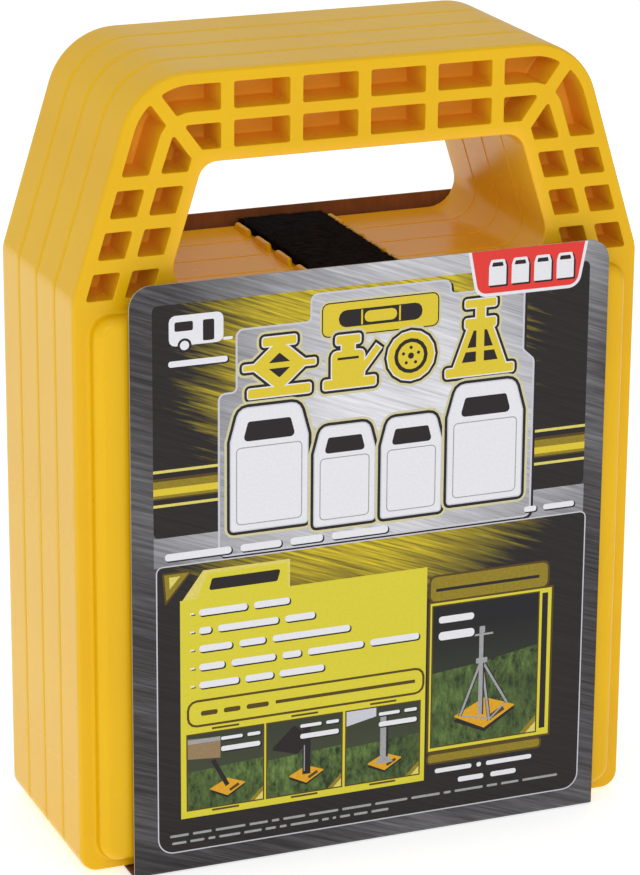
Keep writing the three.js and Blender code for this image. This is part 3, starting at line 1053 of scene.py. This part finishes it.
def pad_mark(low_u, high_u, low_z, high_z):
    """The silhouette of a jack pad fitted to a box: its shell and its hand opening."""
    scale_u = (high_u - low_u) / (2 * SHELL_HALF_WIDTH)
    scale_z = (high_z - low_z) / PAD_HEIGHT
    middle = (low_u + high_u) / 2
    size = math.sqrt(scale_u * scale_z)
    shell = [corner for corner in SHELL_CORNERS if abs(corner[0]) > CHANNEL_HALF_WIDTH]
    opening = [corner for corner in opening_corners() if abs(corner[0]) > CHANNEL_HALF_WIDTH]
    return [
        [(middle + x * scale_u, low_z + z * scale_z, r * size, SMALL_ARC_STEPS) for x, z, r, _ in loop]
        for loop in (shell, opening)
    ]


SHADOW = (0.3, -0.3)
SHADOW_SPREAD = 0.14
WORD_SPACE = 1.1  # in letters
BAR_SHARE = 0.76  # of a word's height
BAR_LIFT = 0.12  # of a word's height
BAR_ROUND = 0.42  # of a bar's height


def word_bars(art, low_u, high_u, low_z, height, letters, ink="white", shadow="black"):
    """A line of unreadable words: one rounded bar for each, as long as its count of letters."""
    low_z += BAR_LIFT * height
    height *= BAR_SHARE
    unit = (high_u - low_u) / (sum(letters) + WORD_SPACE * (len(letters) - 1))
    u = low_u
    words = []
    for count in letters:
        words.append(box(u, u + count * unit, low_z, low_z + height, BAR_ROUND * height))
        u += (count + WORD_SPACE) * unit
    if shadow:
        for word in words:
            art.mark(shadow, word, grow=SHADOW_SPREAD, shift=SHADOW)
    for word in words:
        art.mark(ink, word)


def layered(art, loops, layers):
    """Lays each ink in turn over all the loops, widened by the ink's own distance."""
    for ink, grow in layers:
        for loop in loops:
            art.mark(ink, loop, grow=grow)


SIGN_LAYERS = (("glow", 1.8), ("black", 1.1), ("white", 0.35), ("title_yellow", 0.0))
LEVEL_LAYERS = (("glow", 0.9), ("black", 0.35), ("title_yellow", 0.0))
WHITE_PAD_LAYERS = (("glow", 1.9), ("black", 1.2), ("steel_pale", 0.35))
BACK_PAD_LAYERS = (("black", 1.2), ("white", 0.3))

HALO = [
    (25.3, 92.0), (117.5, 92.0), (117.5, 137.5), (114.2, 140.5), (114.2, 158.6), (92.0, 158.6),
    (92.0, 162.6), (51.8, 162.6), (51.8, 155.0), (30.4, 155.0), (30.4, 137.6), (25.3, 137.6),
]
WHITE_PADS = (
    (28.5, 50.6, 98.5, 133.0),
    (52.8, 70.4, 96.8, 125.0),
    (72.6, 90.2, 96.8, 125.2),
    (92.4, 114.6, 98.2, 132.4),
)


def level_sign(art):
    """A plate with a spirit level on it."""
    layered(art, [box(54.9, 88.6, 150.6, 159.6, 1.6)], LEVEL_LAYERS)
    art.mark("black", box(59.5, 84.0, 152.7, 157.5, 2.2))
    art.mark("title_yellow", box(67.0, 76.5, 153.5, 156.7, 1.5))
    for u in (66.0, 77.1):
        art.mark("title_yellow", box(u, u + 0.5, 153.0, 157.2))


def diamond(u, z, middle, half_width, half_height, radius):
    """A diamond centred on u, its middle at a height above z."""
    places = [(-half_width, 0), (0, -half_height), (half_width, 0), (0, half_height)]
    return shape([(u + across, z + middle + up) for across, up in places], radius)


def scissor_jack_sign(art, u, z):
    """A diamond of four arms on a base, with its screw across and its saddle on top."""
    base = bar_at(u, z, 9.0, 0, 2.6, 0.5)
    screw = bar_at(u, z, 10.4, 7.8, 9.4, 0.3)
    saddle = bar_at(u, z, 4.8, 14.2, 16.6, 0.5)
    layered(art, [base, diamond(u, z, 8.6, 8.2, 7.2, 0.8), screw, saddle], SIGN_LAYERS)
    art.mark("black", diamond(u, z, 8.6, 4.0, 3.5, 0.3))
    art.mark("title_yellow", screw)


def bottle_jack_sign(art, u, z):
    """A round body with its ram and saddle, and the pump's lever at its side."""
    base = bar_at(u, z, 7.6, 0, 2.6, 0.5)
    body = box(u - 5.2, u + 4.2, z + 2.0, z + 10.4, 1.4)
    ram = box(u - 2.4, u + 1.4, z + 9.6, z + 13.2)
    saddle = box(u - 4.0, u + 3.0, z + 12.4, z + 14.8, 0.5)
    lever = bar_between((u + 3.4, z + 4.6), (u + 8.4, z + 10.8), 1.8)
    layered(art, [base, body, ram, saddle, lever], SIGN_LAYERS)
    art.mark("black", box(u - 3.6, u + 2.6, z + 8.0, z + 8.7))


def wheel_sign(art, u, z, radius):
    """A wheel: tyre, rim and five bolts."""
    layered(art, [disc(u, z, radius)], SIGN_LAYERS)
    for ink, share in (("black", 0.72), ("title_yellow", 0.56), ("black", 0.13)):
        art.mark(ink, disc(u, z, share * radius))
    for k in range(5):
        angle = QUARTER + 2 * math.pi * k / 5
        bolt_u = u + 0.34 * radius * math.cos(angle)
        bolt_z = z + 0.34 * radius * math.sin(angle)
        art.mark("black", disc(bolt_u, bolt_z, 0.07 * radius))


def stand_sign(art, u, z):
    """A jack stand: a trestle on its base, with a screw and a top plate."""
    trestle = [(u - 8.2, z + 1.6), (u + 8.2, z + 1.6), (u + 3.2, z + 15.0), (u - 3.2, z + 15.0)]
    loops = [
        bar_at(u, z, 10.2, 0, 2.5, 0.5),
        shape(trestle, 0.4),
        bar_at(u, z, 4.6, 13.6, 16.2, 0.5),
        bar_at(u, z, 1.3, 15.6, 20.4),
        bar_at(u, z, 4.6, 19.4, 21.6, 0.4),
    ]
    layered(art, loops, SIGN_LAYERS)
    for way in (-1, 1):
        window = [(1.2, 3.9), (5.4, 3.9), (2.0, 12.8), (1.2, 12.8)]
        places = [(u + way * across, z + up) for across, up in window]
        art.mark("black", shape(places[::way]))
    art.mark("title_yellow", bar_at(u, z, 5.4, 6.8, 8.0))


def title_block(art):
    """The pale brushed block in the middle, with four jack signs above four pads."""
    halo = shape(HALO, 1.6)
    art.mark("black", halo, grow=0.75, shift=(0.5, -0.5))
    art.mark("steel_pale", halo, grow=0.55)
    art.mark("steel_light", halo)
    level_sign(art)
    scissor_jack_sign(art, 42.4, 135.6)
    bottle_jack_sign(art, 62.8, 135.6)
    wheel_sign(art, 80.8, 142.6, 6.9)
    stand_sign(art, 101.4, 134.9)
    for low_u, high_u, low_z, high_z in WHITE_PADS:
        shell, opening = pad_mark(low_u, high_u, low_z, high_z)
        layered(art, [shell], WHITE_PAD_LAYERS)
        art.mark("white", shell, opening)
        art.mark("black", opening)
        raised = box(low_u + 1.6, high_u - 1.6, low_z + 1.6, low_z + 0.68 * (high_z - low_z), 1.2)
        layered(art, [raised], (("silver", 0.15), ("white", -0.15)))


def gold_rails(art, low_u, high_u, low_z):
    """A polished gold band between two thin rails."""
    art.mark("black", box(low_u, high_u, low_z, low_z + 10.6))
    art.mark("gold_light", box(low_u, high_u, low_z, low_z + 0.8))
    art.mark("gold_light", box(low_u, high_u, low_z + 9.7, low_z + 10.5))
    for ink, low, high in (("brown", 2.2, 8.2), ("gold", 2.6, 7.4), ("title_yellow", 3.4, 5.3)):
        art.mark(ink, box(low_u, high_u, low_z + low, low_z + high))


def count_tab(art):
    """The red tab at the top edge, which shows four pads."""
    tab = [
        (100.6, 157.8, 3.0, ARC_STEPS), (130.2, 157.8, 3.0, ARC_STEPS),
        (132.9, CARD_TOP + 2, 0, 0), (97.9, CARD_TOP + 2, 0, 0),
    ]
    art.mark("white", tab, grow=0.9)
    art.mark("red", tab)
    for k in range(PAD_COUNT):
        u = 103.6 + 6.8 * k
        mark = pad_mark(u, u + 5.2, 160.0, 167.2)
        art.mark("black", mark[0], grow=0.15, shift=(0.4, -0.4))
        art.mark("white", *mark)


def camper(art):
    """A small camper over a word, both white."""
    art.mark("white", box(11.0, 26.4, 152.6, 161.0, 1.8))
    art.mark("black", box(12.6, 17.8, 156.6, 159.2, 0.5))
    art.mark("black", box(20.6, 23.8, 153.4, 159.2, 0.5))
    art.mark("black", disc(15.4, 152.6, 2.0))
    art.mark("white", disc(15.4, 152.6, 1.3))
    art.mark("white", box(26.4, 29.0, 153.0, 153.8))
    word_bars(art, 10.8, 27.6, 146.6, 2.2, [7])


def corner_fold(art, high_u, low_z, size):
    """The small gold triangle in a picture's lower right corner."""
    for ink, side in (("gold", size), ("gold_light", 0.6 * size)):
        art.mark(ink, shape([(high_u - side, low_z), (high_u, low_z), (high_u, low_z + side)]))


def pictured_pad(art, u, z, size):
    """A yellow pad lying on the grass, seen at a slant, with its hand opening to the right."""
    underside = [(-1, -0.15), (0, -0.62), (1, 0), (0, 0.4)]
    top = [(-1, 0), (0, -0.5), (1, 0.1), (0, 0.48)]
    for ink, places in (("black", underside), ("amber", top)):
        art.mark(ink, shape([(u + size * across, z + size * up) for across, up in places], 0.2))
    slot = [(u + 0.12 * size, z - 0.22 * size), (u + 0.62 * size, z + 0.06 * size)]
    art.mark("brown", bar_between(*slot, 0.16 * size))


PICTURE_WIDTH = 22.2
PICTURE_BOTTOM = 18.2
PICTURE_TOP = 40.4


def small_picture(art, low_u, kind):
    """One of three pictures of a jack that stands on a pad."""
    high_u, low_z, high_z = low_u + PICTURE_WIDTH, PICTURE_BOTTOM, PICTURE_TOP
    middle = (low_u + high_u) / 2

    def hung(places, radius=0.0):
        """A shape whose places are measured from the picture's upper left corner."""
        return shape([(low_u + across, high_z + up) for across, up in places], radius)

    art.mark("brown", box(low_u, high_u, low_z, high_z), grow=0.4)
    art.mark("dusk", box(low_u, high_u, low_z, high_z))
    horizon = [(high_u, low_z + 12.6), (low_u, low_z + 11.2)]
    art.mark("grass", shape([(low_u, low_z), (high_u, low_z), *horizon]))
    art.mark("brown", bar_at(middle, high_z, 4, 1.0, 1.6))
    art.mark("brown", bar_at(middle, low_z, 4, -1.3, -0.7))
    pictured_pad(art, middle + 0.6, low_z + 5.4, 5.4)
    if kind == "arm":
        art.mark("tan", hung([(0, -7.0), (9.6, -7.8), (9.6, -1.6), (0, -1.0)]))
        art.mark("silver", box(low_u, low_u + 9.6, high_z - 2.6, high_z - 1.4))
        art.mark("black", bar_between((low_u + 7.4, high_z - 8.2), (middle + 0.6, low_z + 5.8), 1.3))
    if kind == "tongue":
        art.mark("black", hung([(1, -8), (9, -10.4), (13, -6), (8, -1.5)], 0.6))
        art.mark("black", box(middle - 0.6, middle + 1.8, low_z + 5.4, high_z - 3.0))
        art.mark("silver", box(middle - 0.2, middle + 0.1, low_z + 6.4, high_z - 8.0))
    if kind == "post":
        art.mark("steel_pale", hung([(0, -4.4), (9.0, -2.6), (9.0, 0), (0, 0)]))
        art.mark("silver", box(middle - 0.8, middle + 1.6, low_z + 5.8, high_z - 2.6))
        art.mark("black", box(middle + 1.0, middle + 1.6, low_z + 5.8, high_z - 2.6))
        foot = [(-2.4, 5.0), (3.2, 5.0), (1.9, 6.8), (-1.1, 6.8)]
        art.mark("silver", shape([(middle + across, low_z + up) for across, up in foot]))
    corner_fold(art, high_u, low_z, 4.0)
    word_bars(art, high_u - 12.4, high_u - 0.8, high_z - 2.8, 1.3, [5, 3])
    word_bars(art, high_u - 12.4, high_u - 0.8, high_z - 6.2, 1.9, [7])


def bordered(art, ink, low_u, high_u, low_z, high_z, border, radius=0.0):
    """A box of one ink in a brown border. The sides given are the border's outside."""
    inner_radius = radius - 0.4 if radius else 0.0
    art.mark("brown", box(low_u, high_u, low_z, high_z, radius))
    art.mark(ink, box(low_u + border, high_u - border, low_z + border, high_z - border, inner_radius))


def large_picture(art):
    """The framed picture of a tripod jack on its pad."""
    bordered(art, "gold", 87.4, 124.6, 69.2, 77.6, 0.6, 2.0)
    art.mark("black", box(89.6, 121.4, 72.6, 73.5))
    bordered(art, "panel_yellow", 87.4, 126.0, 23.8, 69.8, 0.6)
    art.mark("black", box(122.5, 124.3, 26.4, 67.8))
    bordered(art, "dusk", 88.5, 121.7, 25.3, 68.5, 0.4)
    art.mark("grass", shape([(88.9, 25.7), (121.3, 25.7), (121.3, 52.5), (104.0, 49.5), (88.9, 48.0)]))
    pictured_pad(art, 105.2, 34.0, 9.6)
    for foot in ((97.6, 33.8), (106.8, 31.2), (112.2, 36.0)):
        art.mark("black", bar_between(foot, (104.2, 50.2), 1.15))
        art.mark("silver", bar_between(foot, (104.0, 50.2), 0.7))
    art.mark("silver", bar_between((98.4, 33.8), (106.6, 31.8), 0.5))
    art.mark("silver", bar_between((107.0, 31.8), (111.6, 36.0), 0.5))
    art.mark("silver", box(103.2, 104.9, 33.4, 60.4, 0.3))
    art.mark("black", box(104.5, 104.9, 33.4, 58.4))
    art.mark("silver", box(100.8, 107.4, 57.6, 58.2))
    art.mark("silver", box(102.3, 105.8, 49.2, 50.8, 0.3))
    corner_fold(art, 121.3, 25.7, 5.0)
    word_bars(art, 90.6, 101.4, 62.6, 2.7, [5])
    word_bars(art, 90.6, 101.6, 57.4, 3.3, [5])
    bordered(art, "gold", 87.4, 123.4, 20.2, 23.8, 0.6, 1.2)
    word_bars(art, 90.2, 120.4, 17.2, 1.8, [8, 1, 10])
    word_bars(art, 97.4, 115.6, 13.4, 2.0, [4, 4])


def features_panel(art):
    """The yellow panel: a tab, five lines of words, a strip and three small pictures."""
    art.mark("panel_yellow", box(13.7, 86.8, 15.8, 80.4))
    art.mark("gold_light", shape([(14.4, 80.4), (45.7, 80.4), (45.7, 88.4), (20.4, 88.4)]))
    art.mark("panel_yellow", shape([(18.6, 80.4), (45.0, 80.4), (45.0, 87.4), (21.6, 87.4)]))
    art.mark("black", shape([(22.0, 82.4), (42.0, 82.4), (43.0, 85.8), (23.0, 85.8)], 0.6))
    art.mark("brown", shape([(9.4, 79.4), (17.4, 88.9), (8.6, 88.9)], 0.2))
    art.mark("gold", shape([(9.8, 80.8), (16.4, 88.4), (9.2, 88.4)]))
    art.mark("gold_light", shape([(10.8, 84.2), (13.8, 87.6), (10.6, 87.6)]))
    lines = (
        (75.0, 45.7, [8, 6]),
        (69.7, 53.2, [2, 10, 5]),
        (64.4, 63.7, [5, 4, 12]),
        (59.0, 84.6, [4, 7, 3, 9, 8]),
        (53.7, 56.0, [7, 5, 8]),
    )
    for height, high_u, letters in lines:
        dash = box(16.6, 17.8, height + 0.9, height + 1.4)
        art.mark("black", dash, shift=SHADOW)
        art.mark("white", dash)
        word_bars(art, 19.2, high_u, height, 2.5, letters)
    art.mark("brown", box(15.8, 86.2, 42.9, 50.4, 2.6), grow=0.3)
    art.mark("panel_yellow", box(16.2, 85.8, 43.3, 50.0, 2.2))
    word_bars(art, 19.6, 39.6, 45.6, 1.9, [3, 3, 4], "brown", None)
    art.mark("brown", box(41.6, 83.6, 46.2, 47.2))
    for low_u, kind in ((15.7, "arm"), (39.2, "tongue"), (62.9, "post")):
        small_picture(art, low_u, kind)


def front_artwork():
    """The front panel: the title above, and the features and the pictures below."""
    art = Artwork("steel", CARD_TOP)
    art.mark("night_upper", box(6.3, 134.2, 99.1, 164.2, 1.6))
    art.mark("steel_light", box(6.3, 134.4, 90.6, 99.1))
    gold_rails(art, 6.3, 30.0, 107.9)
    gold_rails(art, 114.0, 134.2, 106.3)
    camper(art)
    title_block(art)
    count_tab(art)
    word_bars(art, 9.5, 74.7, 92.0, 2.7, [8, 5, 4, 7])
    word_bars(art, 116.0, 131.5, 92.6, 2.1, [2, 5])
    lower = [
        (7.2, 6.2, 4.5, ARC_STEPS),
        (135.0, 6.2, 4.5, ARC_STEPS),
        (135.0, 90.6, 1.5, SMALL_ARC_STEPS),
        (7.2, 90.6, 1.5, SMALL_ARC_STEPS),
    ]
    art.mark("steel_pale", lower, grow=0.35)
    art.mark("night_lower", lower)
    features_panel(art)
    large_picture(art)
    small_print = [5, 5, 8, 5, 2, 6, 8, 8, 9, 8, 2, 8, 3, 5, 10]
    word_bars(art, 10.4, 128.8, 10.5, 0.95, small_print, "silver", None)
    word_bars(art, 11.0, 76.0, 8.3, 0.95, [4, 4, 2, 6, 5, 3, 2, 8, 2, 1, 3, 4, 5], "silver", None)
    return art


def back_artwork():
    """The back panel, plainer: the stack of pads as a sign, over lines of words."""
    top = back_high.z
    art = Artwork("steel", top)
    art.mark("steel_pale", box(7, CARD_WIDTH - 7, 7, top - 7, 4), grow=0.35)
    art.mark("night_lower", box(7, CARD_WIDTH - 7, 7, top - 7, 4))
    gold_rails(art, 7, CARD_WIDTH - 7, 84)
    for k in range(PAD_COUNT):
        low_u = 18 + 27 * k
        shell, opening = pad_mark(low_u, low_u + 22, 108, 139)
        layered(art, [shell], BACK_PAD_LAYERS)
        art.mark("title_yellow", shell, opening)
        art.mark("black", opening)
    word_bars(art, 34, 106, 148, 3.4, [6, 8, 5])
    lines = ([7, 5, 9, 3, 6], [4, 8, 5, 7, 6], [9, 3, 6, 8], [5, 5, 7, 4, 8], [6, 9, 4])
    for k, letters in enumerate(lines):
        word_bars(art, 18, 122 - 9 * (k % 3), 70 - 9 * k, 2.4, letters)
    word_bars(art, 18, 118, 18, 1.0, [5, 8, 3, 6, 8, 4, 9, 5, 7], "silver", None)
    return art


MOTTLE = 0.06
FLAT_INKS = {  # the colour, and how much its mottle darkens it
    "steel_pale": ((0.56, 0.56, 0.62), MOTTLE),
    "title_yellow": ((0.70, 0.54, 0.030), MOTTLE),
    "panel_yellow": ((0.66, 0.58, 0.035), MOTTLE),
    "glow": ((0.62, 0.58, 0.34), 0.12),
    "white": ((0.76, 0.76, 0.80), MOTTLE),
    "black": ((0.016, 0.011, 0.012), MOTTLE),
    "gold": ((0.30, 0.22, 0.012), 0.25),
    "gold_light": ((0.72, 0.62, 0.14), 0.15),
    "red": ((0.74, 0.040, 0.030), MOTTLE),
    "brown": ((0.085, 0.050, 0.006), MOTTLE),
    "silver": ((0.36, 0.36, 0.37), 0.2),
    "amber": ((0.72, 0.36, 0.010), 0.15),
    "tan": ((0.30, 0.20, 0.10), 0.15),
}


def make_inks():
    inks = {name: flat_ink(f"ink_{name}", *look) for name, look in FLAT_INKS.items()}
    steel = (0.020, 0.016, 0.017), (0.72, 0.72, 0.76), on_card(88, 176), (78, 66)
    steel_light = (0.11, 0.11, 0.12), (0.84, 0.84, 0.89), on_card(78, 125), (84, 100)
    inks["steel"] = brushed_steel("ink_steel", *steel)
    inks["steel_light"] = brushed_steel("ink_steel_light", *steel_light)
    inks["night_upper"] = panel_burst("ink_night_upper", on_card(66, 148), (51, 52), 1.0, 0.55)
    inks["night_lower"] = panel_burst("ink_night_lower", on_card(68, 92), (48, 20), 1.1, 0.35)
    inks["grass"] = grass_ink("ink_grass")
    inks["dusk"] = shaded_ink("ink_dusk", (0.05, 0.06, 0.03), (0.010, 0.010, 0.012), 24, 62)
    return inks


def on_card(u, height):
    """A place on the front panel, in metres."""
    return (CARD_LEFT + u) * MM, card_low.y * MM, height * MM


def print_card(art, side, face_y, body, inks, boards):
    """Lays an artwork's tiles and the board behind them on one upright panel. side is -1 on the front."""
    coordinates, tiles = art.tiles()

    def place(u, z, depth):
        x = CARD_LEFT + u if side < 0 else CARD_LEFT + CARD_WIDTH - u
        return x, face_y - side * depth, z

    name = "front" if side < 0 else "back"
    for ink, triangles in tiles.items():
        piece = tile_piece(f"card_{name}_{ink}", coordinates, triangles, place, INK, [inks[ink]])
        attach(piece, body)
    everything = [triangle for triangles in tiles.values() for triangle in triangles]

    def board_place(u, z, depth):
        return place(u, z, depth + INK)

    board = tile_piece(f"card_{name}_board", coordinates, everything, board_place, BOARD - INK, boards, 1)
    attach(board, body)
    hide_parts(f"card_{name}_panel")


def fold_piece(name, at_y, way, inks, boards):
    """The rounded fold where an upright panel turns under the pack. way is -1 at the front."""
    centre_y = at_y - way * FOLD_RADIUS
    points = []
    for k in range(FOLD_STEPS + 1):
        angle = QUARTER * k / FOLD_STEPS
        for radius in (FOLD_RADIUS, FOLD_RADIUS - BOARD):
            y = centre_y + way * radius * math.cos(angle)
            z = FOLD_RADIUS - radius * math.sin(angle)
            for i in range(FOLD_COLUMNS + 1):
                points.append((CARD_LEFT + CARD_WIDTH * i / FOLD_COLUMNS, y, z))
    row = FOLD_COLUMNS + 1
    faces = []
    indices = []
    for k in range(FOLD_STEPS):
        for layer, turned in ((0, way < 0), (1, way > 0)):
            for i in range(FOLD_COLUMNS):
                a = (2 * k + layer) * row + i
                quad = (a, a + 1, a + 1 + 2 * row, a + 2 * row)
                faces.append(quad[::-1] if turned else quad)
                indices.append(layer)
        for i in (0, FOLD_COLUMNS):
            a = 2 * k * row + i
            quad = (a, a + row, a + 3 * row, a + 2 * row)
            faces.append(quad if (i == 0) == (way < 0) else quad[::-1])
            indices.append(1)
    for k in (0, FOLD_STEPS):
        for i in range(FOLD_COLUMNS):
            a = 2 * k * row + i
            quad = (a, a + row, a + row + 1, a + 1)
            faces.append(quad if (k == 0) == (way < 0) else quad[::-1])
            indices.append(1)
    made = mesh_object(name, points, faces, [inks["steel"], boards[1]], material_indices=indices)
    made.data.polygons.foreach_set("use_smooth", [index == 0 for index in indices])
    return made


def make_card():
    inks = make_inks()
    boards = [
        bare_board("board_edge", (0.42, 0.38, 0.33), (0.62, 0.58, 0.52)),
        bare_board("board_inside", (0.21, 0.072, 0.018), (0.26, 0.095, 0.026)),
    ]
    print_card(front_artwork(), -1, card_low.y, "card_front", inks, boards)
    print_card(back_artwork(), 1, back_high.y, "card_back", inks, boards)
    front_fold = fold_piece("card_front_fold", card_low.y, -1, inks, boards)
    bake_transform(front_fold)
    back_fold = fold_piece("card_back_fold", back_high.y, 1, inks, boards)
    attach(back_fold, "card_back")
    base_front = card_low.y + FOLD_RADIUS
    base_back = back_high.y - FOLD_RADIUS - BASE_GAP
    loop = box(0, CARD_WIDTH, base_front, base_back)
    coordinates = np.array([(p.x, p.y) for p, _ in outline(loop)])

    def underside(u, y, depth):
        return CARD_LEFT + u, y, depth

    materials = [inks["steel"], boards[1]]
    halves = [(0, 2, 1), (0, 3, 2)]
    base = tile_piece("card_base", coordinates, halves, underside, BOARD, materials, 1)
    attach(base, "strap_front_length")
    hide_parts("card_bottom_panel")


make_card()

# ----------------------------------------
# Light and floor
# ----------------------------------------
TENT_STRENGTH = 0.56
BACKDROP_STRENGTH = 1.05
FLOOR_HALF = 1500
FLOOR_GLOW = 0.54
LAMP_AIM = Vector((0, 0, 0.11))


def make_floor():
    """A plain white floor, lit a little from within as a light table is, so that no shadow is deep."""
    glow = {"Emission_Color": (1, 1, 1, 1), "Emission_Strength": FLOOR_GLOW}
    finish = Finish("floor", (0.85, 0.85, 0.85), 0.6, **glow)
    half = FLOOR_HALF
    points = [(-half, -half, 0), (half, -half, 0), (half, half, 0), (-half, half, 0)]
    floor = mesh_object("floor", points, [(0, 1, 2, 3)], [finish.material])


def soft_light(name, place, size, power):
    """A rectangular lamp of (width, height) that faces the middle of the pack. Lengths are in metres."""
    data = bpy.data.lights.new(name, "AREA")
    data.shape = "RECTANGLE"
    data.size, data.size_y = size
    data.energy = power
    lamp = bpy.data.objects.new(name, data)
    lamp.location = place
    lamp.rotation_mode = "QUATERNION"
    lamp.rotation_quaternion = (LAMP_AIM - Vector(place)).to_track_quat("-Z", "Y")
    bpy.context.scene.collection.objects.link(lamp)


def make_light():
    """An even white studio: a soft tent all round, three lamps and a pure white backdrop."""
    world = bpy.data.worlds.new("studio")
    world.use_nodes = True
    tree = world.node_tree
    background = tree.nodes["Background"]
    background.inputs["Color"].default_value = (1, 1, 1, 1)
    seen = tree.nodes.new("ShaderNodeLightPath").outputs["Is Camera Ray"]
    strength = tree.nodes.new("ShaderNodeMapRange")
    strength.inputs["To Min"].default_value = TENT_STRENGTH
    strength.inputs["To Max"].default_value = BACKDROP_STRENGTH
    tree.links.new(seen, strength.inputs["Value"])
    tree.links.new(strength.outputs["Result"], background.inputs["Strength"])
    bpy.context.scene.world = world
    soft_light("from_left", (-1.3, -0.2, 0.6), (0.9, 1.2), 2.2)
    soft_light("from_front", (-0.3, -1.4, 0.75), (0.8, 0.8), 5.0)
    soft_light("overhead", (0.0, 0.2, 1.4), (0.8, 0.8), 2.2)
    bpy.context.scene.view_settings.view_transform = "Standard"


make_floor()
make_light()
